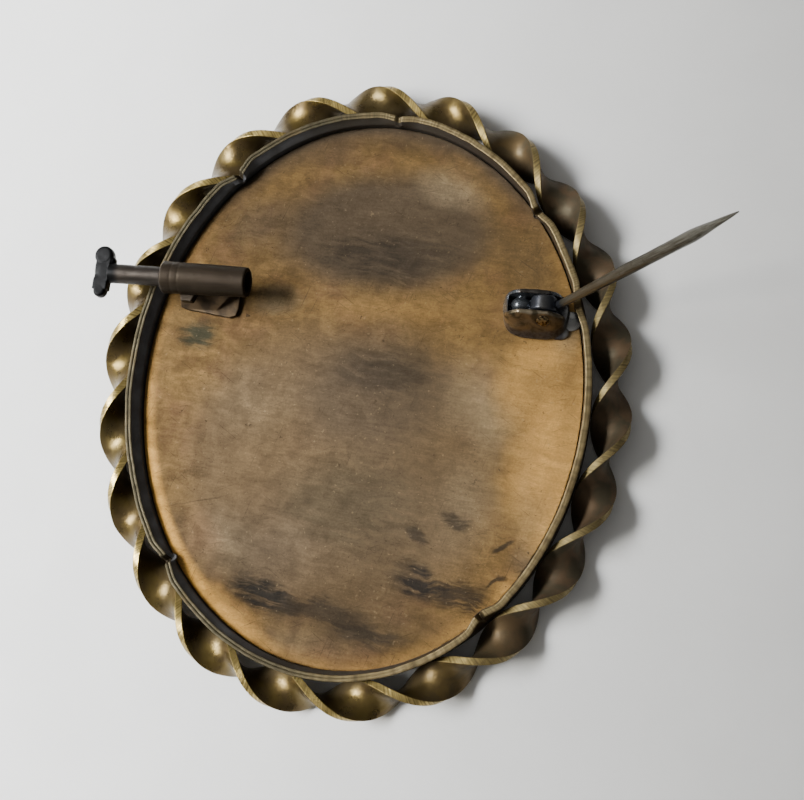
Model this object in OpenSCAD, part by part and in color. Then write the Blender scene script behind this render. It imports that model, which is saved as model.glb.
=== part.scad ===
// Oval brooch with a twisted brass border, lying face down: its glass and flower
// look down, and its back plate, sliding tube clasp and open pin look up.
// +Z is the back of the brooch, +Y its long axis, and the clasp is on the -X side.
// The origin is the oval's centre, on the surface that the border rests on.
// Angles round the oval run clockwise from its top (+Y), as seen from the back.

/* [Border] */
// Half width of the path that the twisted strip follows
border_a = 20.15; // [20.15:0.05:20.4]
// Half height of that path
border_b = 24.4; // [24.4:0.05:24.6]
// Width of the flat strip before it is twisted
strip_w = 3.06; // [2.8:0.02:3.1]
// Thickness of the strip
strip_t = 0.72; // [0.6:0.02:0.8]
// Half turns along the oval, an even number so that it closes
half_turns = 22; // [18:2:26]
// Where the first flat lobe lies, in lobes clockwise from the top
lobe_shift = -0.27; // [-0.5:0.01:0.5]
// How far the lobes run ahead of an even spacing, in lobes
lobe_drift = 0.11; // [0:0.01:0.3]

/* [Bezel] */
// Height of the cut rim over the surface
rim_z = 3.3; // [3.2:0.05:3.6]
// Thickness of the wall, which is two sheets with a hairline between them
wall_t = 0.52; // [0.5:0.02:0.54]
// Height of the lip that holds the glass
lip_z = 0.4; // [0.3:0.05:0.5]
// Width of the lip, from the outer wall
lip_w = 1.3; // [1.1:0.05:1.5]
// How far the rim flares out over the border
rim_flare = 0.25; // [0.2:0.05:0.25]
// How far the whole rim is pushed over towards the clasp
rim_push = 0.2; // [0:0.05:0.2]
// How far the rim is pinched in at each cut
pinch = 0.45; // [0:0.05:0.6]
// How far each folded tab reaches in over the plate
tab_reach = 0.85; // [0.6:0.05:1]

/* [Back plate] */
// Half width of the plate
plate_a = 17.85; // [17.6:0.05:17.9]
// Half height of the plate
plate_b = 22; // [21.7:0.05:22]
// How far the plate has slipped down along the long axis
plate_slip = 0.2; // [0:0.05:0.2]
// Height of the plate's outer edge, on its back face
plate_z = 2; // [1.95:0.05:2.1]
// Thickness of the sheet
plate_t = 0.36; // [0.3:0.02:0.4]
// Rise of the plate towards its middle
plate_rise = 0.3; // [0.1:0.05:0.4]

/* [Clasp] */
// Height of the line that the clasp and the closed pin share
line_z = 5; // [4.9:0.05:5.2]
// Where that line crosses the long axis
line_y = 7.22; // [6.8:0.02:7.5]
// Turn of that line from the short axis
line_turn = -1.8; // [-3:0.1:0]
// Left end of the fixed tube along the line
tube_x = -16.2; // [-16.4:0.05:-16]
// Length of the fixed tube
tube_l = 7.13; // [7:0.01:7.3]
// Outer radius of the fixed tube
tube_r = 1.2; // [1.15:0.01:1.25]
// Outer radius of the sliding tube
slider_r = 0.79; // [0.75:0.01:0.85]
// Radius of the sliding tube's bore, which takes the pin's point
slider_bore_r = 0.52; // [0.48:0.01:0.54]
// How far the sliding tube is drawn out
slider_travel = 3.7; // [3.2:0.05:3.8]

/* [Pin] */
// Place of the pin's pivot along the line
pivot_x = 14.6; // [14.3:0.05:14.8]
// How far the pivot lies below the line of the closed pin
eye_drop = 0.8; // [0.6:0.05:0.9]
// Lean of the hinge's ears towards the top of the oval
hinge_lean = 3; // [0:0.5:4]
// Angle of the open pin over the line
pin_angle = 59; // [45:0.5:90]
// Radius of the pin's round part
pin_r = 0.43; // [0.38:0.01:0.45]
// Radius of the pin beside its eye
pin_root_r = 0.3; // [0.28:0.01:0.34]
// Length of the tapered point
point_l = 4.6; // [4:0.1:5.5]

/* [Glass and flower] */
// Lowest point of the glass dome, over the surface
dome_z = 0.25; // [0.2:0.05:0.4]
// Thickness of the glass
glass_t = 0.48; // [0.4:0.02:0.5]
// Length of a petal, from the flower's middle
petal_l = 8.2; // [7:0.1:9]
// Petals round the flower
petals = 5; // [4:1:6]

/* [Hidden] */
$fn = 96;

gap = 0.05;
small = 0.01;
brass = [0.60, 0.50, 0.27];
gilt = [0.68, 0.52, 0.30];
grey_brass = [0.42, 0.38, 0.31];
dark_metal = [0.14, 0.13, 0.12];
black_card = [0.05, 0.05, 0.06];
clear_glass = [0.8, 0.88, 0.88, 0.35];
petal_pink = [0.80, 0.55, 0.68];
stamen_yellow = [0.85, 0.70, 0.25];
leaf_green = [0.36, 0.46, 0.26];

// The border touches the surface, and its inner edges stand just clear of the bezel.
strip_reach = norm([strip_w, strip_t]) / 2;
border_z = strip_reach;
bezel_a = border_a - strip_reach - gap;
bezel_b = border_b - strip_reach - gap;
strip_steps = 14;
drift_angle = 26;

// Cuts in the rim, clockwise from the top: angle, share of the full pinch, share of the full slit
CUT_ANGLE = 0;
CUT_PINCH = 1;
CUT_SLIT = 2;
cuts = [
    [5, 0.5, 0.3],
    [48.7, 0.8, 1],
    [71.5, 0.5, 0.5],
    [140.8, 1, 1],
    [229, 0.8, 1],
    [320.5, 1, 0.8],
];
pinch_half = 5.5;
slit_half = 1.1;
slit_depth = 0.75;
tab_half = 1.6;
tab_z = plate_z + 0.3;
tab_t = 0.3;
groove_w = 0.1;
groove_depth = 0.09;

// Dents in the back plate: place, radius and depth
DENT_AT = 0;
DENT_R = 1;
DENT_DEPTH = 2;
dents = [
    [[0, 12.5], 6.5, 0.13],
    [[-6.5, -15], 3.6, 0.12],
    [[5.5, -14], 3.4, 0.12],
    [[2, -18], 3, 0.08],
    [[-0.5, 1.5], 5, -0.06],
];

// Clasp, with places along and across its own line
tube_bore_r = slider_r + gap;
tube_end = tube_x + tube_l;
slider_end = tube_end - 0.7;
head_x = tube_x - slider_travel - 1.2;
head_h = 0.96;
seat_z = plate_z + 0.13;
foot_t = 0.36;
foot_x = [tube_x + 0.9, tube_end - 1.35];
foot_y = [-2.35, 0.5];
web_t = 0.5;
lug_t = 0.75;

// Pin and hinge
pin_l = pivot_x - tube_end - 0.1;
root_l = 11;
tip_r = 0.05;
rivet_r = 0.32;
eye_r = 1.05;
eye_half = 0.57;
slot_half = 0.65;
tail_reach = 1.2;
tail_r = 0.4;
tail_half = 0.4;
tail_turn = 145;
pivot_z = line_z - eye_drop;
hinge_x = pivot_x - 0.75;
hinge_r = 2.5;
hinge_base_z = plate_z + 0.11;
hinge_base_t = 0.3;
hinge_top_z = line_z;
hinge_floor_z = pivot_z - tail_reach - tail_r - 0.1;
slot_end = 2.05;
ear_seat = [1.15, 0.98];
rivet_head = [0.5, 0.16];

// Glass and flower
glass_a = bezel_a - wall_t - gap;
glass_b = bezel_b - wall_t - gap;
glass_edge_z = lip_z + 0.45;
card_z = 1.38;
card_t = 0.12;
flower_y = 3;
flower_z = card_z - 2 * small;
stamen_r = 1.7;
stem_w = 0.6;
stem_y = [-16, -2.9];
leaf_l = 8.6;
leaf_t = 0.14;

// A point of an oval, and the direction out of it there
function oval(a, b, t) = [a * sin(t), b * cos(t)];
function oval_out(a, b, t) = let (v = [b * sin(t), a * cos(t)]) v / norm(v);
// The oval's angle after an even run along its edge
function even_run(a, b, t) = t + 90 / PI * (b - a) / (b + a) * sin(2 * t);
// 1 at the middle of a bump, 0 past its half width
function bump(x, half) = abs(x) < half ? pow(cos(90 * x / half), 2) : 0;
// The signed difference of two angles
function turn_between(a, b) = let (d = (a - b) % 360) d > 180 ? d - 360 : d < -180 ? d + 360 : d;

// Triangles of a tube that closes on itself: rings of m points, in order round each section
function ring_faces(rings, m) = [
    for (j = [0:rings - 1], k = [0:m - 1])
        let (
            j2 = (j + 1) % rings,
            k2 = (k + 1) % m,
            p = j * m + k,
            q = j * m + k2,
            r = j2 * m + k2,
            s = j2 * m + k
        )
            each [[p, r, q], [p, s, r]]
];

// The flat strip, turned half a turn for each lobe as it goes round the oval
module twisted_border() {
    rings = half_turns * strip_steps;
    section = [[1, -1], [1, 1], [-1, 1], [-1, -1]];
    points = [
        for (j = [0:rings - 1])
            let (
                lobe = j / strip_steps,
                share = 360 * lobe / half_turns,
                run = 360 / half_turns * (lobe + lobe_shift + lobe_drift * cos(share - drift_angle)),
                t = even_run(border_a, border_b, run),
                p = oval(border_a, border_b, t),
                out = oval_out(border_a, border_b, t),
                turn = 180 * lobe
            )
                for (c = section)
                    let (
                        w = c.x * strip_w / 2,
                        h = c.y * strip_t / 2,
                        side = w * cos(turn) - h * sin(turn),
                        up = w * sin(turn) + h * cos(turn)
                    )
                        [p.x + side * out.x, p.y + side * out.y, border_z + up]
    ];
    color(brass) polyhedron(points = points, faces = ring_faces(rings, len(section)));
}

// Angles of the bezel's rings, closer together at each cut
function cut_gap(i) = (cuts[(i + 1) % len(cuts)][CUT_ANGLE] - cuts[i][CUT_ANGLE] + 360) % 360;
bezel_angles = [
    for (i = [0:len(cuts) - 1])
        let (n = 8 + 2 * floor(cut_gap(i) / 9))
            for (j = [0:n - 1])
                let (u = j / n)
                    cuts[i][CUT_ANGLE] + cut_gap(i) * (u - sin(360 * u) / (2 * PI) * 0.88)
];

// How much of a cut's bump is felt at an angle
function cut_share(t, column, half) =
    max([for (c = cuts) c[column] * bump(turn_between(t, c[CUT_ANGLE]), half)]);

// One section of the bezel at angle t: distance in from the outer wall, and height
function bezel_section(t) =
    let (
        lean = pinch * cut_share(t, CUT_PINCH, pinch_half),
        top = rim_z - slit_depth * cut_share(t, CUT_SLIT, slit_half),
        tab = tab_reach * cut_share(t, CUT_SLIT, tab_half),
        rim = lean - rim_flare + rim_push * sin(t),
        mid = wall_t / 2
    )
        [
            [0.12, lip_z - 0.06],
            [0, lip_z + 0.08],
            [lean * 0.25, tab_z],
            [rim, top - 0.06],
            [rim + 0.06, top],
            [rim + mid - groove_w / 2, top],
            [rim + mid, top - groove_depth],
            [rim + mid + groove_w / 2, top],
            [rim + wall_t - 0.04, top],
            [rim + wall_t, top - 0.06],
            [max(lean * 0.25, tab) + wall_t, tab_z + tab_t],
            [tab + wall_t + small, tab_z],
            [wall_t, tab_z - 0.25],
            [wall_t, lip_z + 0.42],
            [lip_w, lip_z + 0.36],
            [lip_w + 0.05, lip_z + 0.12],
            [lip_w - 0.1, lip_z - 0.04],
        ];

// The wall that holds the glass, its rim cut, pinched and folded over the plate
module bezel() {
    sections = [for (t = bezel_angles) bezel_section(t)];
    points = [
        for (j = [0:len(bezel_angles) - 1])
            let (
                t = bezel_angles[j],
                p = oval(bezel_a, bezel_b, t),
                out = oval_out(bezel_a, bezel_b, t)
            )
                for (s = sections[j]) [p.x - s[0] * out.x, p.y - s[0] * out.y, s[1]]
    ];
    color(brass) polyhedron(points = points, faces = ring_faces(len(bezel_angles), len(sections[0])));
}

// A closed sheet with any rounded outline, whose rings are shares of the outline's radius
module sheet(outline, rings, top, bottom, steps) {
    m = len(rings);
    angles = [for (j = [0:steps - 1]) 360 * j / steps];
    flat = [for (r = rings, t = angles) r * outline(t)];
    upper = [for (p = flat) [p.x, p.y, top(p.x, p.y)]];
    lower = [
        for (k = [m - 1:-1:0], j = [0:steps - 1])
            let (p = flat[k * steps + j])
                [p.x, p.y, bottom(p.x, p.y)]
    ];
    points = concat([[0, 0, top(0, 0)]], upper, lower, [[0, 0, bottom(0, 0)]]);
    last = len(points) - 1;
    faces = [
        for (j = [0:steps - 1])
            let (j2 = (j + 1) % steps)
                each concat(
                    [[0, 1 + j, 1 + j2]],
                    [
                        for (k = [0:2 * m - 2])
                            let (
                                p = 1 + k * steps + j,
                                q = 1 + (k + 1) * steps + j,
                                r = 1 + (k + 1) * steps + j2,
                                s = 1 + k * steps + j2
                            )
                                each [[p, q, r], [p, r, s]]
                    ],
                    [[last - steps + j, last, last - steps + j2]]
                )
    ];
    polyhedron(points = points, faces = faces);
}

// How far a point lies from the middle of an oval, 1 at its edge
function oval_share(a, b, x, y) = norm([x / a, y / b]);
function dent_depth(x, y) = [
    for (d = dents) d[DENT_DEPTH] * exp(-pow(norm([x, y] - d[DENT_AT]) / d[DENT_R], 2))
];
function total(v, i = 0) = i < len(v) ? v[i] + total(v, i + 1) : 0;

// The thin sheet that closes the back, risen a little in the middle and dented
module back_plate() {
    rise = function(x, y)
        plate_rise * pow(1 - pow(oval_share(plate_a, plate_b, x, y), 2), 2) - total(dent_depth(x, y));
    color(gilt) translate([0, -plate_slip, plate_z])
        sheet(
            function(t) oval(plate_a, plate_b, t), [0.16, 0.32, 0.48, 0.64, 0.8, 0.92, 1],
            rise, function(x, y) rise(x, y) - plate_t, 64
        );
}

// Places its children on the line that the clasp and the closed pin share
module on_line() {
    translate([0, line_y, 0]) rotate(line_turn) children();
}

// A cylinder along the line from x1 to x2
module rod(x1, x2, r) {
    translate([x1, 0, line_z]) rotate([0, 90, 0]) cylinder(h = x2 - x1, r = r);
}

// A shallow groove round the tube, w wide
module tube_groove(x, w) {
    translate([x, 0, line_z]) rotate([0, 90, 0])
        rotate_extrude() translate([tube_r - 0.06, 0]) square([0.4, w]);
}

// The clasp's fixed tube with the web, skirt and foot that are soldered to the plate
module clasp_tube() {
    x1 = foot_x[0];
    x2 = foot_x[1];
    l = x2 - x1;
    y1 = foot_y[0];
    skirt_z = seat_z + foot_t - small;
    color(grey_brass) on_line() difference() {
        union() {
            rod(tube_x, tube_end, tube_r);
            // Web under the tube
            translate([x1 + 0.3, -web_t / 2, seat_z + small])
                cube([l - 0.4, web_t, line_z - tube_bore_r - 0.1 - seat_z]);
            // Foot, wider at its inner end
            translate([0, 0, seat_z]) linear_extrude(foot_t)
                polygon([
                    [x1, foot_y[1]], [x1, y1 + 0.75], [x1 + 0.3, y1 + 0.45], [x2 - 0.7, y1],
                    [x2 - 0.15, y1 + 0.2], [x2, y1 + 0.8], [x2, foot_y[1]],
                ]);
            // Skirt that slopes from the web to the foot, cut off aslant
            intersection() {
                translate([x1, 0, skirt_z]) rotate([90, 0, 90]) linear_extrude(l)
                    polygon([[0, 0], [y1 + 0.45, 0], [-0.5, 1.2], [0, 1.7]]);
                translate([x2, 0, 0]) linear_extrude(10)
                    polygon([[-l, 1], [0.2 - l, y1 + 0.5], [-2.1, y1 + 0.3], [-0.15, -0.6], [-0.15, 1]]);
            }
            // Stop lug under the near side of the tube
            translate([tube_x, 0, line_z - tube_r]) linear_extrude(lug_t)
                polygon([[1.2, -0.6], [1.5, -1.75], [2.4, -1.75], [2.9, -0.6]]);
        }
        rod(tube_x - 1, tube_end + 1, tube_bore_r);
        for (x = [0.85, 1.45]) tube_groove(tube_x + x, 0.12);
    }
}

// The sliding tube, drawn out, with its flattened head
module clasp_slider() {
    base_z = line_z - head_h / 2;
    color(dark_metal) on_line() difference() {
        union() {
            rod(head_x + 0.3, slider_end, slider_r);
            // Larger lobe, its shoulder, the smaller lobe and the bar between them
            translate([head_x, 1.3, base_z]) cylinder(h = head_h, r = 0.78);
            translate([head_x + 0.6, 0.85, base_z + 0.1]) cylinder(h = head_h - 0.2, r = 0.45);
            translate([head_x + 0.02, -1.3, base_z + 0.04]) cylinder(h = head_h - 0.08, r = 0.48);
            translate([head_x - 0.45, -1.3, base_z + 0.02]) cube([0.93, 2.5, head_h - 0.04]);
        }
        rod(head_x + 1, slider_end + 1, slider_bore_r);
    }
}

// Places its children at the pin's pivot, on the hinge's lean
module at_pivot() {
    on_line() translate([pivot_x, 0, line_z]) rotate([-hinge_lean, 0, 0])
        translate([0, 0, -eye_drop]) children();
}

// A cylinder along the pivot from y1 to y2
module pivot_rod(y1, y2, r) {
    translate([0, y1, 0]) rotate([-90, 0, 0]) cylinder(h = y2 - y1, r = r);
}

// A folded cup with a slot that is open towards the rim, and two ears for the rivet
module hinge() {
    centre = hinge_x - pivot_x;
    base_z = hinge_base_z + hinge_base_t / 2 - pivot_z;
    top_z = hinge_top_z - pivot_z;
    color(gilt) difference() {
        union() {
            // Level base
            on_line() translate([hinge_x, 0, hinge_base_z]) intersection() {
                cylinder(h = hinge_base_t, r = hinge_r + 0.05);
                translate([-5, -2.15, 0]) cube([10, 3.75, 10]);
            }
            // Ears, one thin and one thick with a sloping face, rounded at both ends
            at_pivot() intersection() {
                translate([centre + 4, 0, 0]) rotate([90, 0, -90]) mirror([1, 0, 0]) linear_extrude(8)
                    polygon([[-2.1, base_z], [1.5, base_z], [1.0, top_z], [-1.16, top_z]]);
                translate([centre, 0, base_z]) cylinder(h = 10, r = hinge_r);
                translate([centre, -5, base_z + 0.35]) rotate([-90, 0, 0])
                    cylinder(h = 10, r = hinge_r + 0.15);
            }
        }
        at_pivot() {
            translate([centre - slot_end, -slot_half, hinge_floor_z - pivot_z])
                cube([8, 2 * slot_half, 8]);
            pivot_rod(-4, 4, rivet_r + small);
            pivot_rod(-4, -ear_seat[0], rivet_head[0] + 0.06);
            pivot_rod(ear_seat[1], 4, rivet_head[0] + 0.06);
        }
    }
}

module hinge_rivet() {
    color(brass) at_pivot() {
        pivot_rod(-ear_seat[0] - rivet_head[1], ear_seat[1] + rivet_head[1], rivet_r);
        pivot_rod(-ear_seat[0] - small - rivet_head[1], -ear_seat[0] - small, rivet_head[0]);
        pivot_rod(ear_seat[1] + small, ear_seat[1] + small + rivet_head[1], rivet_head[0]);
    }
}

// The pin, open as it lies, with a flat eye, a short tail and a tapered point
module pin() {
    color(grey_brass) at_pivot() difference() {
        union() {
            pivot_rod(-eye_half, eye_half, eye_r);
            rotate([0, -pin_angle - tail_turn, 0]) {
                translate([tail_reach, 0, 0]) pivot_rod(-tail_half, tail_half, tail_r);
                translate([0, -tail_half, -tail_r]) cube([tail_reach, 2 * tail_half, 2 * tail_r]);
            }
            rotate([0, 90 - pin_angle, 0]) translate([eye_drop, 0, 0]) {
                cylinder(h = root_l, r1 = pin_root_r, r2 = pin_r);
                translate([0, 0, root_l]) cylinder(h = pin_l - root_l - point_l, r = pin_r);
                translate([0, 0, pin_l - point_l]) cylinder(h = point_l, r1 = pin_r, r2 = tip_r);
            }
        }
        pivot_rod(-4, 4, rivet_r + gap);
    }
}

// The glass bulges towards the front, which faces down
module glass() {
    bulge = glass_edge_z - dome_z;
    front = function(x, y) -bulge * (1 - pow(oval_share(glass_a, glass_b, x, y), 2));
    color(clear_glass) translate([0, 0, glass_edge_z + gap / 2])
        sheet(
            function(t) oval(glass_a, glass_b, t), [0.25, 0.5, 0.75, 0.9, 1],
            function(x, y) front(x, y) + glass_t, front, 64
        );
}

module backing_card() {
    color(black_card) translate([0, 0, card_z])
        sheet(
            function(t) oval(glass_a - 0.1, glass_b - 0.1, t), [0.5, 1],
            function(x, y) card_t, function(x, y) 0, 48
        );
}

// Length of the flower's outline from its middle at angle t
function petal_edge(t) = petal_l * (0.56 + 0.44 * pow(abs(cos(petals * t / 2)), 0.6));

// The petals lie under the card and are thickest along their middles
module flower_petals() {
    under = function(x, y)
        -0.16 - 0.12 * pow(abs(cos(petals * atan2(x, y) / 2)), 2) * min(1, norm([x, y]) / 3);
    color(petal_pink) translate([0, flower_y, flower_z])
        sheet(
            function(t) petal_edge(t) * [sin(t), cos(t)], [0.25, 0.55, 0.8, 1],
            function(x, y) 0, under, petals * 12
        );
}

module flower_centre() {
    color(stamen_yellow) translate([0, flower_y, flower_z - 0.3])
        sheet(
            function(t) stamen_r * [sin(t), cos(t)], [0.5, 1],
            function(x, y) 0, function(x, y) -0.12 - 0.05 * (1 - pow(norm([x, y]) / stamen_r, 2)), 24
        );
}

// Half width of a leaf along its length, u from 0 to 1
function leaf_half(u) = 2.2 * pow(sin(180 * u), 0.8) * (1 - 0.35 * u);

// The outline of one leaf, from its stalk
module leaf_outline(l) {
    steps = 10;
    polygon(concat(
        [for (i = [0:steps]) let (u = i / steps) [leaf_half(u), u * l]],
        [for (i = [steps - 1:-1:1]) let (u = i / steps) [-leaf_half(u), u * l]]
    ));
}

module flower_leaves() {
    color(leaf_green) translate([0, 0, flower_z - leaf_t]) linear_extrude(leaf_t) {
        translate([-stem_w / 2, stem_y[0]]) square([stem_w, stem_y[1] - stem_y[0]]);
        translate([0, -13.5]) rotate(38) leaf_outline(leaf_l);
        translate([0, -12]) rotate(-42) leaf_outline(leaf_l);
    }
}

twisted_border();
bezel();
back_plate();
clasp_tube();
clasp_slider();
hinge();
hinge_rivet();
pin();
glass();
backing_card();
flower_petals();
flower_centre();
flower_leaves();
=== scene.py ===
"""An oval brooch lying face down: its pieces, their finishes, the light and the camera.

Lengths are in metres. +Z is the back of the brooch, which looks up, +Y is its long axis,
and the clasp is on the -X side. Angles round the oval run clockwise from its top.
"""

from math import copysign, cos, exp, hypot, pi, radians, sin, sqrt

import bmesh
import bpy
from mathutils import Matrix, Vector, noise


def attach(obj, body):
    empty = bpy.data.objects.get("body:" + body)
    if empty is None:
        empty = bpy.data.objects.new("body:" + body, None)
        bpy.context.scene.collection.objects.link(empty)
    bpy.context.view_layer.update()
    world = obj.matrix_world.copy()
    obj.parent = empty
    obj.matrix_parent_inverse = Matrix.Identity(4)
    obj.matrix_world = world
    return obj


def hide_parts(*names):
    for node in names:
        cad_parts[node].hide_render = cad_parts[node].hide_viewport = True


bl_info = {
    "name": "Oval brooch",
    "version": (1, 0, 0),
    "blender": (4, 5, 0),
    "location": "View3D > Sidebar > Brooch",
    "description": "Models a face-down oval brooch with a twisted border, a clasp and an open pin",
    "category": "Object",
}

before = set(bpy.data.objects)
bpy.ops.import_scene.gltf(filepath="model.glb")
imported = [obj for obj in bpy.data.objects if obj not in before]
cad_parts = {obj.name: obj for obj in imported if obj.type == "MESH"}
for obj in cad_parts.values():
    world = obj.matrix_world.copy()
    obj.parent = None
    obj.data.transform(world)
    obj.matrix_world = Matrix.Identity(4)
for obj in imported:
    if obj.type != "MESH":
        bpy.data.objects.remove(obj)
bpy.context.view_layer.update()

MM = 0.001
PICTURE_WIDTH = 804


def mm(*values):
    """Lengths given in millimetres, as metres."""
    return tuple(value * MM for value in values)


def length(name, description, millimetres):
    """A length that a user may change, given here in millimetres."""
    return bpy.props.FloatProperty(
        name=name, description=description, default=millimetres * MM, unit="LENGTH", precision=5
    )


def angle(name, description, degrees):
    """An angle that a user may change, given here in degrees."""
    return bpy.props.FloatProperty(
        name=name, description=description, default=radians(degrees), subtype="ANGLE"
    )


def number(name, description, default):
    """A plain number that a user may change."""
    return bpy.props.FloatProperty(name=name, description=description, default=default)


def colour(name, description, default):
    """A colour that a user may change."""
    return bpy.props.FloatVectorProperty(
        name=name, description=description, default=default, subtype="COLOR", min=0, max=1
    )


class BorderSizes(bpy.types.PropertyGroup):
    half_width: length("Half width", "Half width of the path of the twisted strip", 20.15)
    half_height: length("Half height", "Half height of that path", 24.4)
    strip_width: length("Strip width", "Width of the flat strip", 3.06)
    strip_thickness: length("Strip thickness", "Thickness of the flat strip", 0.72)
    edge_round: length("Edge rounding", "Radius on the strip's long edges", 0.07)
    half_turns: bpy.props.IntProperty(
        name="Half turns", description="Half turns along the oval", default=22
    )
    first_lobe: number("First lobe", "Place of the first lobe, in lobes from the top", -0.27)
    lobe_drift: number("Lobe drift", "How far the lobes run ahead of an even spacing", 0.11)
    drift_angle: angle("Drift angle", "Where they run ahead the most", 26)


class BezelSizes(bpy.types.PropertyGroup):
    rim_height: length("Rim height", "Height of the cut rim over the surface", 3.3)
    wall: length("Wall", "Thickness of the two sheets of the wall", 0.52)
    lip_height: length("Lip height", "Height of the lip that holds the glass", 0.4)
    lip_width: length("Lip width", "Width of that lip", 1.3)
    flare: length("Flare", "How far the rim flares out over the border", 0.25)
    push: length("Push", "How far the whole rim is pushed over towards the clasp", 0.2)
    pinch: length("Pinch", "How far the rim is pinched in at a cut", 0.45)
    slit: length("Slit", "Depth of a cut in the rim", 0.75)
    tab: length("Tab", "How far a folded tab reaches over the plate", 0.4)


class PlateSizes(bpy.types.PropertyGroup):
    half_width: length("Half width", "Half width of the back plate", 17.85)
    half_height: length("Half height", "Half height of the back plate", 22.2)
    slip: length("Slip", "How far the plate has slipped down the long axis", 0.02)
    height: length("Height", "Height of the plate's edge over the surface", 2.0)
    sheet: length("Sheet", "Thickness of the plate", 0.36)
    rise: length("Rise", "Rise of the plate towards its middle", 0.3)


class ClaspSizes(bpy.types.PropertyGroup):
    line_height: length("Line height", "Height of the clasp and of the closed pin", 5.0)
    line_place: length("Line place", "Where their line crosses the long axis", 7.22)
    line_turn: angle("Line turn", "Turn of their line", -1.8)
    tube_start: length("Tube start", "Left end of the fixed tube", -16.2)
    tube_length: length("Tube length", "Length of the fixed tube", 7.13)
    tube_radius: length("Tube radius", "Outer radius of the fixed tube", 1.2)
    slider_radius: length("Slider radius", "Outer radius of the sliding tube", 0.79)
    slider_bore: length("Slider bore", "Radius of the sliding tube's bore", 0.52)
    drawn_out: length("Drawn out", "How far the sliding tube is drawn out", 3.7)


class PinSizes(bpy.types.PropertyGroup):
    pivot: length("Pivot", "Place of the pivot along the clasp's line", 14.6)
    eye_drop: length("Eye drop", "How far the pivot lies below that line", 0.8)
    lean: angle("Lean", "Lean of the hinge's ears", 3)
    open_angle: angle("Open angle", "Angle of the open pin over the line", 59)
    radius: length("Radius", "Radius of the pin's round part", 0.43)
    root_radius: length("Root radius", "Radius of the pin beside its eye", 0.3)
    eye_radius: length("Eye radius", "Radius of the pin's flat eye", 1.05)
    point: length("Point", "Length of the tapered point", 4.6)


class FrontSizes(bpy.types.PropertyGroup):
    dome_height: length("Dome height", "Lowest point of the glass over the surface", 0.25)
    glass: length("Glass", "Thickness of the glass", 0.48)
    card_height: length("Card height", "Height of the black card", 1.38)
    petal: length("Petal", "Length of a petal from the flower's middle", 8.2)
    petals: bpy.props.IntProperty(name="Petals", description="Petals of the flower", default=5)


class FinishColours(bpy.types.PropertyGroup):
    brass: colour("Brass", "Rubbed brass", (0.142, 0.101, 0.030))
    olive: colour("Olive", "Brass under a thin olive tarnish", (0.095, 0.066, 0.029))
    umber: colour("Umber", "Brass under a thick brown tarnish", (0.036, 0.025, 0.015))
    gilt: colour("Gilt", "Worn gilding", (0.150, 0.091, 0.032))
    ochre: colour("Ochre", "Duller patches of the gilding", (0.112, 0.068, 0.026))
    amber: colour("Amber", "Brightest gilding, near the plate's edge", (0.380, 0.215, 0.064))
    blush: colour("Blush", "Pinkish worn gilding", (0.084, 0.057, 0.030))
    smoke: colour("Smoke", "Brown-grey tarnish of the plate", (0.058, 0.043, 0.028))
    soot: colour("Soot", "Darkest smudges of the plate", (0.016, 0.014, 0.012))
    tube: colour("Tube", "Grey-brown metal of the clasp", (0.028, 0.0200, 0.0120))
    steel: colour("Steel", "Grey-brown metal of the pin", (0.120, 0.117, 0.098))
    # Black also darkens the clasp's hollows as painted shade
    black: colour("Black", "Blackened metal", (0.012, 0.012, 0.013))
    solder: colour("Solder", "Grey solder", (0.095, 0.095, 0.105))
    petal: colour("Petal", "Petals of the flower", (0.58, 0.22, 0.36))
    leaf: colour("Leaf", "Leaves of the flower", (0.07, 0.13, 0.04))
    rose: colour("Rose", "Pinkish bare metal at the foot of the plate", (0.135, 0.072, 0.036))
    moss: colour("Moss", "Greenish smudges of the plate", (0.028, 0.030, 0.019))
    # Pale also serves as painted light in the shadows of the clasp tube and of the hinge on the
    # plate
    pale: colour("Pale", "Rubbed pale patches of the plate", (0.230, 0.175, 0.105))
    paper: colour("Paper", "Pale surface that the brooch lies on", (0.80, 0.80, 0.79))


class BroochSettings(bpy.types.PropertyGroup):
    border: bpy.props.PointerProperty(type=BorderSizes)
    bezel: bpy.props.PointerProperty(type=BezelSizes)
    plate: bpy.props.PointerProperty(type=PlateSizes)
    clasp: bpy.props.PointerProperty(type=ClaspSizes)
    pin: bpy.props.PointerProperty(type=PinSizes)
    front: bpy.props.PointerProperty(type=FrontSizes)
    colours: bpy.props.PointerProperty(type=FinishColours)


def settings():
    """The sizes and colours of this brooch."""
    return bpy.context.scene.brooch


# Shapes

def deselect():
    """Leaves object mode's selection empty."""
    bpy.ops.object.select_all(action="DESELECT")


def select_only(piece):
    """Makes a piece the only selected object and the active one."""
    deselect()
    piece.select_set(True)
    bpy.context.view_layer.objects.active = piece


def newest(name):
    """Names the object that an operator has just added."""
    piece = bpy.context.object
    piece.name = name
    piece.data.name = name
    return piece


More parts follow.
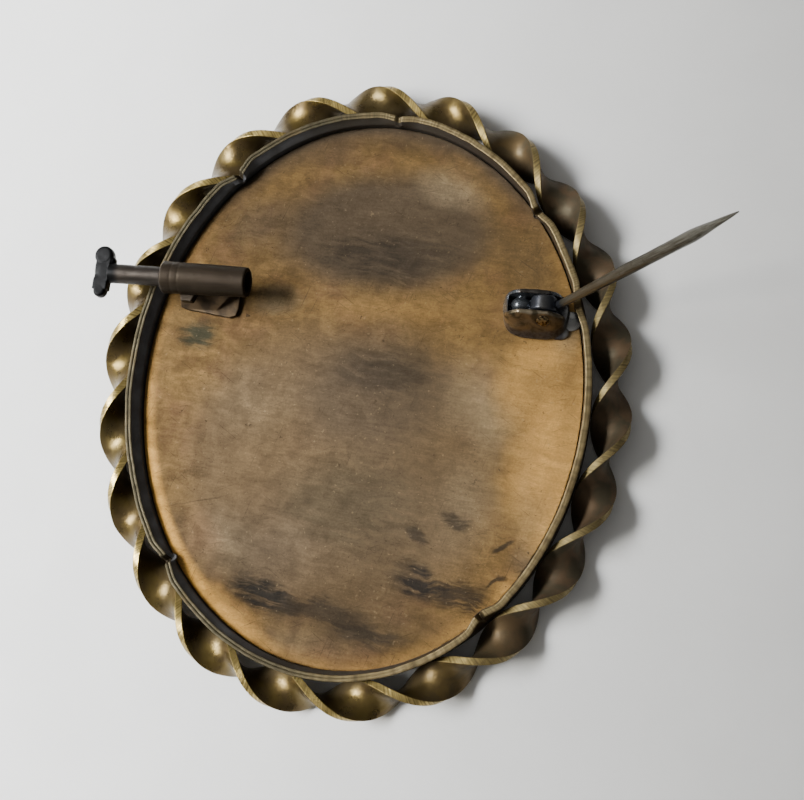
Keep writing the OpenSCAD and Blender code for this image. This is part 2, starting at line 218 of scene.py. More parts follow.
def loft(name, count, loops, place, closed=False, marks=None):
    """A ring of edges, extruded loop by loop.

    place(k, share) is where loop k passes at a share of the way round. A closed loft ends
    on its first loop, and any other ends in a loop drawn together to a point. marks gives
    names of attributes and their rules, which take the same two values.
    """
    marks = marks or {}
    deselect()
    bpy.ops.mesh.primitive_circle_add(vertices=count, fill_type="NOTHING")
    piece = newest(name)
    bpy.ops.object.mode_set(mode="EDIT")
    shell = bmesh.from_edit_mesh(piece.data)
    for mark in ("way", *marks):
        shell.verts.layers.float.new(mark)
    way = shell.verts.layers.float["way"]
    shell.verts.ensure_lookup_table()
    for i, vertex in enumerate(shell.verts):
        vertex[way] = i / count
    for k in range(loops + 1 if closed else loops):
        if k:
            bmesh.update_edit_mesh(piece.data)
            bpy.ops.mesh.extrude_edges_move()
            shell = bmesh.from_edit_mesh(piece.data)
            way = shell.verts.layers.float["way"]
        layers = [(shell.verts.layers.float[mark], rule) for mark, rule in marks.items()]
        for vertex in shell.verts:
            if vertex.select:
                vertex.co = place(k % loops, vertex[way])
                for layer, rule in layers:
                    vertex[layer] = rule(k % loops, vertex[way])
    bmesh.update_edit_mesh(piece.data)
    bpy.ops.mesh.select_all(action="SELECT")
    bpy.ops.mesh.remove_doubles(threshold=0.001 * MM)
    bpy.ops.mesh.normals_make_consistent(inside=False)
    bpy.ops.object.mode_set(mode="OBJECT")
    return piece


def prism(name, outline, low, high):
    """An upright prism over an outline of (x, y) points."""
    deselect()
    bpy.ops.mesh.primitive_circle_add(vertices=len(outline), fill_type="NGON")
    piece = newest(name)
    for vertex, (x, y) in zip(piece.data.vertices, outline):
        vertex.co = (x, y, low)
    bpy.ops.object.mode_set(mode="EDIT")
    bpy.ops.mesh.select_all(action="SELECT")
    bpy.ops.mesh.extrude_region_move(TRANSFORM_OT_translate={"value": (0, 0, high - low)})
    bpy.ops.mesh.select_all(action="SELECT")
    bpy.ops.mesh.normals_make_consistent(inside=False)
    bpy.ops.object.mode_set(mode="OBJECT")
    return piece


def block(name, low, high):
    """A box between two corners."""
    (x1, y1, z1), (x2, y2, z2) = low, high
    return prism(name, [(x1, y1), (x2, y1), (x2, y2), (x1, y2)], z1, z2)


def turned(degrees, axis):
    """A turn about an axis."""
    return Matrix.Rotation(radians(degrees), 4, axis)


def shifted(x=0, y=0, z=0):
    """A shift."""
    return Matrix.Translation((x, y, z))


def offsets(rows):
    """Points from rows of x, y and what is added to both in millimetres."""
    return [(row[0] + row[2] * MM, row[1] + row[3] * MM) for row in rows]


def moved(piece, matrix):
    """Moves a piece's mesh, and leaves its object at the origin."""
    piece.data.transform(matrix)
    return piece


def cut_off(piece, point, out):
    """Cuts off what lies beyond a plane, and closes the cut."""
    select_only(piece)
    bpy.ops.object.mode_set(mode="EDIT")
    bpy.ops.mesh.select_all(action="SELECT")
    facing = Vector(out).normalized()
    bpy.ops.mesh.bisect(plane_co=point, plane_no=facing, use_fill=True, clear_outer=True)
    bpy.ops.object.mode_set(mode="OBJECT")
    return piece


def apply_modifier(piece, kind, **values):
    """Adds a modifier with these values and applies it."""
    select_only(piece)
    modifier = piece.modifiers.new("Shape", kind)
    for name, value in values.items():
        setattr(modifier, name, value)
    bpy.ops.object.modifier_apply(modifier=modifier.name)
    return piece


def carve(piece, other, operation="DIFFERENCE"):
    """Cuts one piece by another, or keeps or adds what they share."""
    apply_modifier(piece, "BOOLEAN", object=other, operation=operation, solver="EXACT")
    bpy.data.objects.remove(other)
    return piece


def join(name, parts):
    """Joins parts into one object."""
    select_only(parts[0])
    for part in parts:
        part.select_set(True)
    if len(parts) > 1:
        bpy.ops.object.join()
    return newest(name)


def fuse(name, parts, voxel, rounds):
    """Melts overlapping parts into one skin with softened edges; voxel is in millimetres.

    The remesh takes no voxels below a tenth of a millimetre, so it works on a piece
    that is drawn a thousand times larger.
    """
    piece = join(name, parts)
    piece.data.transform(Matrix.Scale(1 / MM, 4))
    apply_modifier(piece, "REMESH", mode="VOXEL", voxel_size=voxel, use_smooth_shade=True)
    apply_modifier(piece, "SMOOTH", factor=0.5, iterations=rounds)
    piece.data.transform(Matrix.Scale(MM, 4))
    return piece


def uneven(piece, amount, size, seed=0):
    """Moves a skin in and out by some millimetres, as hand work and wear leave it."""
    offset = Vector((seed * 7.3, seed * 3.1, seed * 5.7))
    vertices = piece.data.vertices
    places = [(vertex.co.copy(), vertex.normal.copy()) for vertex in vertices]
    for vertex, (at, out) in zip(vertices, places):
        vertex.co = at + out * noise.noise(at / (size * MM) + offset) * amount * MM
    return piece


def smooth(piece, degrees=40):
    """Smooth shading with sharp edges past an angle."""
    select_only(piece)
    bpy.ops.object.shade_smooth_by_angle(angle=radians(degrees))
    return piece


def place_piece(piece, body, node, material):
    """Gives a piece its material and body, and hides the solid that it stands for."""
    piece.data.materials.clear()
    piece.data.materials.append(material)
    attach(piece, body)
    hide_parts(node)
    return piece


def lathe(name, profile, count, height=0, closed=False):
    """A turned shape along X: profile has (place along the axis, radius) points."""
    def place(k, share):
        x, r = profile[k]
        turn = 2 * pi * share
        return (x, r * cos(turn), r * sin(turn) + height)

    return loft(name, count, len(profile), place, closed)


def rod(name, start, end, radius, count, end_radius=None):
    """A plain rod along X."""
    profile = [(start, 0), (start, radius), (end, end_radius or radius), (end, 0)]
    return lathe(name, profile, count)


def ball(name, segments, rings, radius, at, stretch):
    """A ball, stretched along its axes."""
    deselect()
    bpy.ops.mesh.primitive_uv_sphere_add(segments=segments, ring_count=rings, radius=radius)
    return moved(newest(name), Matrix.Translation(at) @ Matrix.Diagonal((*stretch, 1)))


# The oval

def oval(a, b, turn):
    """A point of an oval at an angle from its top."""
    return Vector((a * sin(turn), b * cos(turn), 0))


def oval_out(a, b, turn):
    """The direction out of the oval there."""
    return Vector((b * sin(turn), a * cos(turn), 0)).normalized()


def both_faces(shares, edge, thick):
    """Layers of a sheet: out over one face, round its edge and back over the other."""
    return [(s, 0) for s in shares] + edge + [(s, thick) for s in reversed(shares)]


def sheet(name, count, a, b, layers, height, slip=0):
    """An oval sheet of (share of the half sizes, rise) layers over height(flat, share)."""
    def place(k, share):
        inner, up = layers[k]
        flat = oval(a, b, 2 * pi * share) * inner
        return (flat.x, flat.y - slip, height(flat, inner) + up)

    return loft(name, count, len(layers), place)


def bump(x, half):
    """1 at the middle of a bump, 0 past its half width."""
    return cos(pi / 2 * x / half) ** 2 if abs(x) < half else 0.0


def turn_between(a, b):
    """The signed difference of two angles in degrees."""
    return (a - b + 180) % 360 - 180


def bezel_halves():
    """Half width and half height of the bezel's outer wall."""
    border = settings().border
    reach = hypot(border.strip_width, border.strip_thickness) / 2
    clear = 0.05 * MM
    return border.half_width - reach - clear, border.half_height - reach - clear


# Cuts in the rim, clockwise from the top: angle, share of the pinch, share of the slit
CUTS = [
    (5, 0.5, 0.3),
    (48.7, 0.8, 1),
    (71.5, 0.5, 0.5),
    (140.8, 1, 1),
    (229, 0.8, 1),
    (320.5, 1, 0.8),
]
# Half the width, in degrees, of what a cut pinches, slits and folds over
PINCH_HALF = 5.5
SLIT_HALF = 1.1
TAB_HALF = 1.6
# How much the loops crowd together at a cut, from 0 to 1
CROWDING = 0.88

# Dents in the plate: place and radius in millimetres, depth in millimetres
DENTS = [
    ((0, 12.5), 6.5, 0.13),
    ((-6.5, -15), 3.6, 0.12),
    ((5.5, -14), 3.4, 0.12),
    ((2, -18), 3, 0.08),
    ((-0.5, 1.5), 5, -0.06),
]


def cut_share(turn, column, half):
    """How much of a cut is felt at an angle in degrees."""
    return max(cut[column] * bump(turn_between(turn, cut[0]), half) for cut in CUTS)


def rim_angle(share):
    """An angle round the rim, where the loops crowd together at each cut."""
    place = share * len(CUTS)
    i = int(place) % len(CUTS)
    u = place - int(place)
    gap = (CUTS[(i + 1) % len(CUTS)][0] - CUTS[i][0]) % 360
    return CUTS[i][0] + gap * (u - sin(2 * pi * u) / (2 * pi) * CROWDING)


def strip_section(width, thickness, corner):
    """Points round the strip's section, with 1 for a point of a narrow face."""
    half_w, half_t = width / 2, thickness / 2
    inner_w, inner_t = half_w - corner, half_t - corner
    across = 10
    points = []
    for side in (1, -1):
        for i in range(across + 1):
            points.append((side * inner_w * (1 - 2 * i / across), side * half_t, 0))
        for corner_at, start in ((1, 90), (-1, 180)):
            for i in (1, 2):
                turn = radians(start + 30 * i)
                points.append((
                    side * (corner * cos(turn) - inner_w),
                    side * (corner * sin(turn) + corner_at * inner_t),
                    0.5,
                ))
            if corner_at == 1:
                points.append((-side * half_w, side * inner_t, 1))
                points.append((-side * half_w, 0, 1))
                points.append((-side * half_w, -side * inner_t, 1))
    return points


def model_border():
    """The flat strip, turned half a turn for each lobe as it goes round the oval."""
    size = settings().border
    section = strip_section(size.strip_width, size.strip_thickness, size.edge_round)
    height = hypot(size.strip_width, size.strip_thickness) / 2
    a, b = size.half_width, size.half_height
    squash = (b - a) / (b + a) / 2

    def place(k, share):
        lobe = share * size.half_turns
        lead = size.lobe_drift * cos(2 * pi * share - size.drift_angle)
        run = 2 * pi / size.half_turns * (lobe + size.first_lobe + lead)
        turn = run + squash * sin(2 * run)
        w, h, _ = section[k]
        twist = pi * lobe
        side = w * cos(twist) - h * sin(twist)
        up = w * sin(twist) + h * cos(twist)
        return oval(a, b, turn) + oval_out(a, b, turn) * side + Vector((0, 0, height + up))

    rings_per_lobe = 36
    rings = size.half_turns * rings_per_lobe
    marks = {"narrow": lambda k, share: section[k][2]}
    piece = loft("border_strip", rings, len(section), place, True, marks)
    uneven(piece, 0.018, 1.1, 1)
    return smooth(piece, 34)


def bezel_section(turn):
    """One section of the bezel: distance in from the outer wall, height, and 1 inside."""
    size = settings().bezel
    plate = settings().plate
    around = Vector((cos(radians(turn)), sin(radians(turn)), 0))
    wave = noise.noise(around * 9) + 0.5 * noise.noise(around * 30)
    pinch = size.pinch * cut_share(turn, 1, PINCH_HALF)
    rim = pinch - size.flare + size.push * sin(radians(turn)) + 0.05 * MM * wave
    top = size.rim_height - size.slit * cut_share(turn, 2, SLIT_HALF)
    top += 0.045 * MM * noise.noise(around * 14 + Vector((0, 0, 5)))
    low, lip, wall = size.lip_height, size.lip_width, size.wall
    tab = size.tab * cut_share(turn, 2, TAB_HALF)
    tab_z = plate.height + 0.3 * MM
    half_up = (tab_z + top) / 2
    mid = rim + wall / 2
    end = rim + wall
    # The line between the two sheets is plain on the left and rubbed flat on the right
    line = 0.15 + 0.85 * min(1, max(0, 0.7 - 1.4 * around.y))
    # The inner sheet stands a little lower than the outer one
    inner_top = top - 0.05 * MM * line
    # Each row has a distance in, a height, the millimetres added to both, and 1 inside
    rows = [
        (0, low, 0.12, -0.06, 0),
        (0, low, 0.03, -0.02, 0),
        (0, low, 0, 0.08, 0),
        (0, low, 0, 1, 0),
        (pinch * 0.25, tab_z, 0, 0, 0),
        (pinch * 0.2 + rim * 0.5, half_up, 0, 0, 0),
        (rim, top, 0, -0.07, 0),
        (rim, top, 0.02, -0.02, 0.3),
        (rim, top, 0.06, 0, 0.3),
        (mid, top, -0.07, 0, 0.3),
        (mid, top, -0.03, -0.02 * line, 0.3),
        (mid, top, 0, -0.03 * line, 0.4),
        (mid, inner_top, 0.03, -0.02 * line, 0.3),
        (mid, inner_top, 0.06, 0, 0.3),
        (end, inner_top, -0.06, 0, 0.3),
        (end, inner_top, -0.02, -0.02, 0.4),
        (end, inner_top, 0, -0.07, 1),
        (max(pinch * 0.6, tab * 0.5) + rim * 0.5 + wall, half_up, 0, 0, 1),
        (max(pinch * 0.25, tab) + wall, tab_z, 0, 0.3, 1),
        (tab + wall, tab_z, 0.05, 0.15, 1),
        (tab + wall, tab_z, 0.01, 0, 1),
        (wall, tab_z, 0, -0.25, 1),
        (wall, low, 0, 0.42, 1),
        (lip, low, 0, 0.36, 0),
        (lip, low, 0.05, 0.12, 0),
        (lip, low, -0.1, -0.04, 0),
    ]
    return [(*point, row[4]) for point, row in zip(offsets(rows), rows)]


def model_bezel():
    """The wall that holds the glass, its rim cut, pinched and folded over the plate."""
    a, b = bezel_halves()
    rings_per_cut = 120
    rings = len(CUTS) * rings_per_cut
    sections = [bezel_section(rim_angle(i / rings)) for i in range(rings)]

    def place(k, share):
        i = round(share * rings) % rings
        turn = radians(rim_angle(i / rings))
        inward, height, _ = sections[i][k]
        return oval(a, b, turn) - oval_out(a, b, turn) * inward + Vector((0, 0, height))

    marks = {"inside": lambda k, share: sections[0][k][2]}
    piece = loft("bezel_wall", rings, len(sections[0]), place, True, marks)
    return smooth(piece, 40)


def model_plate():
    """The thin sheet that closes the back, risen in the middle and dented."""
    size = settings().plate
    a, b = size.half_width, size.half_height
    edge_round = 0.1 * MM
    steps = 44
    shares = [sin(pi / 2 * i / steps) for i in range(steps)] + [1 - edge_round / a]

    def height(flat, inner):
        x, y = flat.x, flat.y
        from_middle = hypot(x / a, y / b)
        rise = size.rise * (1 - from_middle ** 2) ** 2 if from_middle < 1 else 0
        for (dx, dy), radius, depth in DENTS:
            away = hypot(x / MM - dx, y / MM - dy) / radius
            rise -= depth * MM * exp(-away ** 2)
        wave = noise.noise(Vector((x, y, 0)) / (5 * MM))
        wave += 0.3 * noise.noise(Vector((x, y, MM)) / (1.7 * MM))
        return size.height + rise + 0.035 * MM * wave * min(1, (1.02 - from_middle) * 8)

    edge = [(1 - 0.3 * edge_round / a, -0.03 * MM), (1, -0.1 * MM), (1, 0.1 * MM - size.sheet)]
    layers = both_faces(shares, edge, -size.sheet)
    return smooth(sheet("back_sheet", 192, a, b, layers, height, size.slip), 50)


def line_frame():
    """Places what is modelled along X on the line of the clasp and the closed pin."""
    size = settings().clasp
    return shifted(0, size.line_place) @ Matrix.Rotation(size.line_turn, 4, "Z")


def pivot_frame():
    """Places what is modelled round the pin's pivot, with the pivot along Y."""
    clasp, pin = settings().clasp, settings().pin
    pivot = shifted(pin.pivot, 0, clasp.line_height) @ Matrix.Rotation(-pin.lean, 4, "X")
    return line_frame() @ pivot @ shifted(0, 0, -pin.eye_drop)


def model_clasp_tube():
    """The fixed tube with the web, skirt, foot and stop lug that are soldered to it."""
    size = settings().clasp
    seat = settings().plate.height + 0.13 * MM
    x1 = size.tube_start
    x2 = x1 + size.tube_length
    r, z = size.tube_radius, size.line_height
    bore = size.slider_radius + 0.05 * MM
    outside = [(x1, r, 0.08, 0)]
    for groove in (0.9, 1.5):
        for dx, dr in ((-0.10, 0), (-0.04, 0.02), (0.04, 0.02), (0.10, 0)):
            outside.append((x1, r, groove + dx, -dr))
    outside += [(x2, r, -0.1, 0), (x2, r, 0, -0.1)]
    inside = [(x2, bore, 0, 0.05), (x2, bore, -0.1, 0), (x1, bore, 0.1, 0), (x1, bore, 0, 0.06)]
    # The tube is wider outside towards its left end
    widen = 0.11 * MM / (x2 - x1)
    skin = [(x, y + widen * (x2 - x)) for x, y in offsets(outside + [(x1, r, 0, -0.08)])]
    tube = lathe("tube", skin[:-1] + offsets(inside) + skin[-1:], 72, z, True)

    start, end = x1 + 0.9 * MM, x2 - 1.35 * MM
    foot_z = seat + 0.36 * MM
    half = 0.25 * MM
    web = block("web", (start + 0.3 * MM, -half, seat), (end - 0.1 * MM, half, z - bore - 0.1 * MM))
    outline = [(start, 0, 0, 0.5), (start, 0, 0, -1.6), (start, 0, 0.3, -1.9), (end, 0, -0.7, -2.35)]
    outline += [(end, 0, -0.15, -2.15), (end, 0, 0, -1.55), (end, 0, 0, 0.5)]
    foot = prism("foot", offsets(outline), seat, foot_z)
    # The skirt is modelled upright along Z, turned to run along X, and cut off aslant
    skirt = [mm(0, 0), mm(-1.9, 0), mm(-0.5, 1.2), mm(0, 1.7)]
    skirt = prism("skirt", skirt, 0, end - start)
    skirt_z = foot_z - 0.01 * MM
    moved(skirt, Matrix(((0, 0, 1, start), (1, 0, 0, 0), (0, 1, 0, skirt_z), (0, 0, 0, 1))))
    cut_off(skirt, (end - 0.15 * MM, 0, 0), (1, 0, 0))
    cut_off(skirt, (end - 0.15 * MM, -0.6 * MM, 0), (1.45, -1.95, 0))
    lug = offsets([(x1, 0, 1.2, -0.6), (x1, 0, 1.5, -1.75), (x1, 0, 2.4, -1.75), (x1, 0, 2.9, -0.6)])
    lug = prism("lug", lug, z - r, z - r + 0.75 * MM)
    piece = fuse("tube_clasp", [tube, web, foot, skirt, lug], 0.06, 3)
    uneven(piece, 0.03, 1.6, 2)
    moved(piece, line_frame())
    return smooth(piece, 60)


def model_clasp_slider():
    """The sliding tube, drawn out, with its flattened head of two lobes."""
    size = settings().clasp
    z = size.line_height
    end = size.tube_start + size.tube_length - 0.7 * MM
    head = size.tube_start - size.drawn_out - 1.28 * MM
    half_h = 0.48 * MM
    r, bore = size.slider_radius, size.slider_bore
    profile = [(head, 0, 0.3, 0), (head, r, 0.3, 0), (end, r, -0.1, 0), (end, r, 0, -0.1)]
    profile += [(end, bore, 0, 0.05), (end, bore, -0.1, 0), (head, bore, 1, 0), (head, 0, 1, 0)]

    def lobe(dx, y, radius, thinner=0):
        """A flat lobe with a rounded rim, from sizes in millimetres."""
        y, radius, half = y * MM, radius * MM, half_h - thinner * MM
        rim = [(0, half, 0, 0), (radius, half, -0.22, 0), (radius, half, -0.06, -0.06)]
        rim = offsets(rim + [(radius, half, 0, -0.22)])
        rim += [(out, -up) for out, up in reversed(rim)]

        def place(k, share):
            out, up = rim[k]
            turn = 2 * pi * share
            return (head + dx * MM + out * cos(turn), y + out * sin(turn), z + up)

        return loft("lobe", 40, len(rim), place)

    bar = offsets([(head, z - half_h, -0.92, 0.04), (head, z + half_h, 0.32, -0.04)])
    parts = [
        lathe("rod", offsets(profile), 56, z),
        lobe(-0.36, 1.42, 0.80),
        lobe(0.16, 1.0, 0.48, 0.08),
        lobe(-0.30, -1.56, 0.52, 0.03),
        block("bar", (bar[0][0], -1.45 * MM, bar[0][1]), (bar[1][0], 1.3 * MM, bar[1][1])),
    ]
    piece = fuse("slide_tube", parts, 0.05, 4)
    # A shallow cut across the head, where its two lobes were filed
    slit_at = Vector((head - 0.92 * MM, -0.3 * MM, z + half_h))
    for vertex in piece.data.vertices:
        away = (vertex.co - slit_at).length
        vertex.co.z -= 0.12 * MM * bump(away, 0.5 * MM)
    uneven(piece, 0.025, 0.8, 3)
    moved(piece, line_frame())
    return smooth(piece, 60)


def model_hinge():
    """A folded cup with a slot that is open towards the rim, and two ears for the rivet."""
    clasp, pin, plate = settings().clasp, settings().pin, settings().plate
    centre, r = mm(-0.75, 2.5)
    base_low = plate.height + 0.11 * MM
    base_z = base_low + 0.15 * MM - (clasp.line_height - pin.eye_drop)
    height = pin.eye_drop - base_z
    ears_at = pivot_frame()
    base_at = line_frame() @ shifted(pin.pivot)

    def cup(name, rows, half_x):
        """A rounded tub: rows has (height, reach to the north, to the south, share) points."""
        def place(k, share):
            z, north, south, inner = rows[k]
            turn = 2 * pi * share
            x, y = (
                copysign(abs(value) ** (2 / 3), value) * inner
                for value in (cos(turn), sin(turn))
            )
            return (centre + half_x * x, (north if y > 0 else south) * y, z)

        return loft(name, 72, len(rows), place)

    # The far face leans in a little, and the near face slopes
    rows = [
        (base_z + height * up, *mm(1.5 - 0.5 * up, 2.1 - 1.15 * up), 1)
        for up in (i / 6 for i in range(7))
    ]
    rows = [(*rows[0][:3], 0)] + rows + [(*rows[-1][:3], 0)]
    ears = cup("ears", rows, r)
    barrel = rod("barrel", -5 * MM, 5 * MM, r + 0.15 * MM, 72)
    moved(barrel, shifted(centre, 0, base_z + 0.35 * MM) @ turned(90, "Z"))
    carve(ears, barrel, "INTERSECT")
    # The slot's closed end is scooped like the bowl of a spoon
    scoop, floor, beyond = mm(1.9, -1.7, 8)
    scoop_x = centre - 2.05 * MM + scoop
    side = [(beyond, floor), (beyond, beyond), (scoop_x - scoop, beyond)]
    for i in range(13):
        turn = radians(180 + 7.5 * i)
        side.append((scoop_x + scoop * cos(turn), floor + scoop + scoop * sin(turn)))
    slot = prism("slot", side, -0.65 * MM, 0.65 * MM)
    carve(ears, moved(slot, turned(90, "X")))
    for low, high, radius in (mm(-4, 4, 0.33), mm(-4, -1.2, 0.58), mm(0.98, 4, 0.56)):
        carve(ears, moved(rod("drill", low, high, radius, 40), turned(90, "Z")))
    # A rounded body at the slot's closed end
    body = ball("body", 32, 20, MM, mm(-1.80, 0, -0.45), (0.85, 0.64, 0.80))
    moved(body, ears_at)
    moved(ears, ears_at)
    base = [(base_low + up, *mm(1.6, 2.25), share) for up, share in (
        (0, 0), (0, 1), (0.3 * MM, 1), (0.3 * MM, 0)
    )]
    parts = [ears, body, moved(cup("base", base, r + 0.05 * MM), base_at)]
    for x, y, stretch in ((2.8, -0.6, (0.9, 0.8, 0.16)), (1.9, -1.6, (0.8, 0.6, 0.25))):
        lump = ball("solder", 24, 16, MM, (centre + x * MM, y * MM, base_low), stretch)
        parts.append(moved(lump, base_at))
    piece = fuse("pin_hinge", parts, 0.055, 7)
    uneven(piece, 0.07, 0.9, 4)
    return smooth(piece, 60)


def model_rivet():
    """The rivet through both ears, hammered over at its ends."""
    near, far = mm(-1.24, 0.98)
    head, thick, shank = mm(0.5, 0.16, 0.32)
    slope = 1.2 / 2.74
    dome = ((1.1, 0), (1, 0.55), (0.6, 0.92), (0.2, 1), (0, 0.95))
    profile = [(near - thick * out, head * share) for out, share in dome]
    profile += [(near, shank), (far, shank)]
    profile += [(far + thick * out, head * share) for out, share in reversed(dome)]
    piece = lathe("pivot_rivet", profile, 40)
    for vertex in piece.data.vertices:
        if vertex.co.x < near:
            vertex.co.x += slope * vertex.co.z
    moved(piece, pivot_frame() @ turned(90, "Z"))
    uneven(piece, 0.03, 0.3, 5)
    return smooth(piece, 50)


def model_pin():
    """The open pin: a flat eye with a short tail, and a stem with a tapered point."""
    clasp, size = settings().clasp, settings().pin
    half, bore, corner = mm(0.57, 0.37, 0.09)
    flat = half - corner
    r = size.eye_radius
    profile = [(-flat, r), (flat, r), (half, r - corner), (half, bore + corner)]
    profile += [(flat, bore), (-flat, bore), (-half, bore + corner), (-half, r - corner)]
    eye = lathe("eye", profile, 64, 0, True)
    moved(eye, turned(90, "Z"))
    tail_reach, tail_r = mm(1.2, 0.4)
    tail_turn = turned(-145, "Y") @ Matrix.Rotation(-size.open_angle, 4, "Y")
    tail = block("tail", (0.6 * MM, -tail_r, -tail_r), (tail_reach, tail_r, tail_r))
    knob = rod("knob", -tail_r, tail_r, tail_r, 32)
    moved(tail, tail_turn)
    moved(knob, tail_turn @ shifted(tail_reach) @ turned(90, "Z"))
    # The stem runs along X from beside the pivot, and then takes its open angle
    total = size.pivot - (clasp.tube_start + clasp.tube_length) - 0.1 * MM
    root, blunt = mm(11, 0.03)
    rows = [(-0.2 * MM, 0), (-0.2 * MM, size.root_radius)]
    steps = 34
    for i in range(steps + 1):
        x = total * i / steps
        if x < root:
            radius = size.root_radius + (size.radius - size.root_radius) * x / root
        else:
            left = min(1.0, max(0.0, (total - x) / size.point))
            radius = blunt + (size.radius - blunt) * left ** 0.85
        rows.append((x, radius))
    rows.append((total + 0.02 * MM, 0))
    stem = lathe("stem", rows, 40)
    moved(stem, Matrix.Rotation(-size.open_angle, 4, "Y") @ shifted(0, 0, -size.eye_drop))
    piece = fuse("eye", [eye, tail, knob], 0.05, 3)
    carve(piece, stem, "UNION")
    piece.name = "pin_stem"
    uneven(piece, 0.022, 1.3, 6)
    moved(piece, pivot_frame())
    return smooth(piece, 45)


def model_glass():
    """The glass, which bulges towards the front."""
    size = settings().front
    bezel = settings().bezel
    a, b = (half - bezel.wall - 0.07 * MM for half in bezel_halves())
    edge = bezel.lip_height + 0.475 * MM
    bulge = edge - size.dome_height
    steps = 18
    shares = [sin(pi / 2 * i / steps) for i in range(steps)] + [0.992]
    rim = [(1, 0.06 * MM), (1, size.glass - 0.06 * MM)]

    def height(flat, inner):
        return edge - bulge * (1 - inner ** 2)

    layers = both_faces(shares, rim, size.glass)
    return smooth(sheet("dome_glass", 160, a, b, layers, height), 40)


def model_card():
    """The black card behind the flower, a little wavy."""
    bezel = settings().bezel
    a, b = (half - bezel.wall - 0.15 * MM for half in bezel_halves())
    thick = 0.12 * MM
    steps = 16

    def height(flat, inner):
        wave = 0.01 * MM * noise.noise(flat / (4 * MM))
        return settings().front.card_height + wave

    layers = both_faces([i / steps for i in range(steps + 1)], [], thick)
    return smooth(sheet("black_card", 128, a, b, layers, height), 40)


FLOWER_Y = 3 * MM


def flower_height():
    """Height of the card's face that the flower is laid on."""
    return settings().front.card_height - 0.02 * MM


def blade(name, reach, half_at, thick, bend, count=56, steps=14):
    """A thin petal or leaf along Y, whose half width follows half_at(u).

    It is a flat loft from its long middle line outwards, and bend(u, s) is how deep a
    point lies, with u along the blade and s across it from -1 to 1.
    """
    layers = both_faces([i / steps for i in range(steps + 1)], [], 1)

    def place(k, share):
        out, face = layers[k]
        turn = 2 * pi * share
        along = 0.5 - 0.5 * cos(turn) * (0.35 + 0.65 * out)
        side = copysign(out, sin(turn)) if abs(sin(turn)) > 1e-6 else 0
        body = thick * (1 - 0.75 * out)
        depth = bend(along, side) + (body if face else 0)
        return (side * half_at(along), along * reach, -depth)

    return loft(name, count, len(layers), place)


def model_petals():
    """Five broad petals, laid down one over the next."""
    size = settings().front
    middle = shifted(0, FLOWER_Y, flower_height())

    def half_at(u):
        return size.petal * (0.30 * sin(pi * min(1, u) ** 0.9) ** 0.75 + 0.02)

    petals = []
    for i in range(size.petals):
        def bend(u, s, i=i):
            frill = 0.03 * MM * sin(9 * s + 1.3 * i) * u * abs(s)
            ribs = 0.012 * MM * cos(26 * s) * (1 - u * 0.4)
            return 0.05 * MM + 0.05 * MM * (1 - abs(s)) + frill + ribs + 0.012 * MM * i

        petal = blade("petal", size.petal, half_at, 0.06 * MM, bend)
        petals.append(moved(petal, middle @ turned(-360 * i / size.petals, "Z")))
    return smooth(join("petal_ring", petals), 60)


def model_stamens():
    """A low cushion of small beads at the flower's middle."""
    middle = Vector((0, FLOWER_Y, flower_height() - 0.30 * MM))
    radius = 1.6 * MM
    profile = [(0, 0), (0, 0.9 * radius), (0.03 * MM, radius), (0.09 * MM, 0.96 * radius)]
    cushion = lathe("cushion", profile + [(0.12 * MM, 0)], 48)
    parts = [moved(cushion, Matrix.Translation(middle) @ turned(-90, "Y"))]
    count = 46
    golden = radians(137.5)
    for i in range(count):
        out = radius * sqrt((i + 0.5) / count) * 0.95
        at = middle + Vector((out * cos(i * golden), out * sin(i * golden), 0))
        tall = 0.85 + 0.2 * noise.noise(at / MM)
        parts.append(ball("bead", 12, 8, (0.15 - 0.03 * out / radius) * MM, at, (1, 1, tall)))
    return smooth(join("stamen_heads", parts), 60)


def model_leaves():
    """A thin stem with two leaves, each with a midrib."""
    top = flower_height()

    def half_at(u):
        return 2.2 * MM * sin(pi * u) ** 0.8 * (1 - 0.35 * u)

    def bend(u, s):
        veins = 0.012 * MM * cos(34 * (u - 0.35 * abs(s)))
        return 0.02 * MM + 0.03 * MM * (1 - abs(s)) ** 3 + veins * abs(s)

    parts = []
    for start, turn in ((-13.5, 38), (-12, -42)):
        leaf = blade("leaf", 8.6 * MM, half_at, 0.08 * MM, bend, 64, 12)
        parts.append(moved(leaf, shifted(0, start * MM, top) @ turned(turn, "Z")))
    stem = rod("stem", -16 * MM, -2.9 * MM, 0.28 * MM, 20, 0.22 * MM)
    flatten = Matrix.Diagonal((1, 1, 0.25, 1))
    parts.append(moved(stem, shifted(0, 0, top - 0.08 * MM) @ flatten @ turned(90, "Z")))
    return smooth(join("leaf_spray", parts), 50)


# Finishes

# Tones that no setting changes; two of them are the ends of a blend
# Painted fill light in the strip's hollows
BORDER_HOLLOW_FILL = (0.115, 0.086, 0.045)
BORDER_CLOUD = (0.082, 0.064, 0.027)
# Painted shade on the broad faces of the strip's side away from the lamp
BORDER_SHADED_BROWNS = ((0.058, 0.050, 0.034), (0.088, 0.058, 0.038))
BORDER_EDGES = ((0.15, 0.108, 0.036), (0.48, 0.360, 0.125))
# Painted shade on the narrow faces of that side
BORDER_SHADED_EDGE = (0.105, 0.088, 0.056)
RIM_BRIGHT = ((0.11, 0.084, 0.042), (0.25, 0.190, 0.092))
RIM_DARK = ((0.044, 0.037, 0.021), (0.076, 0.064, 0.038))
# Painted fill light on the wall's left, and its dark tone elsewhere
WALL_FILL_PAIR = ((0.150, 0.152, 0.160), (0.050, 0.042, 0.032))
WALL_PATCHES = (0.060, 0.054, 0.048)
# Painted shade on the wall's right
WALL_RIGHT_SHADE = (0.030, 0.024, 0.018)
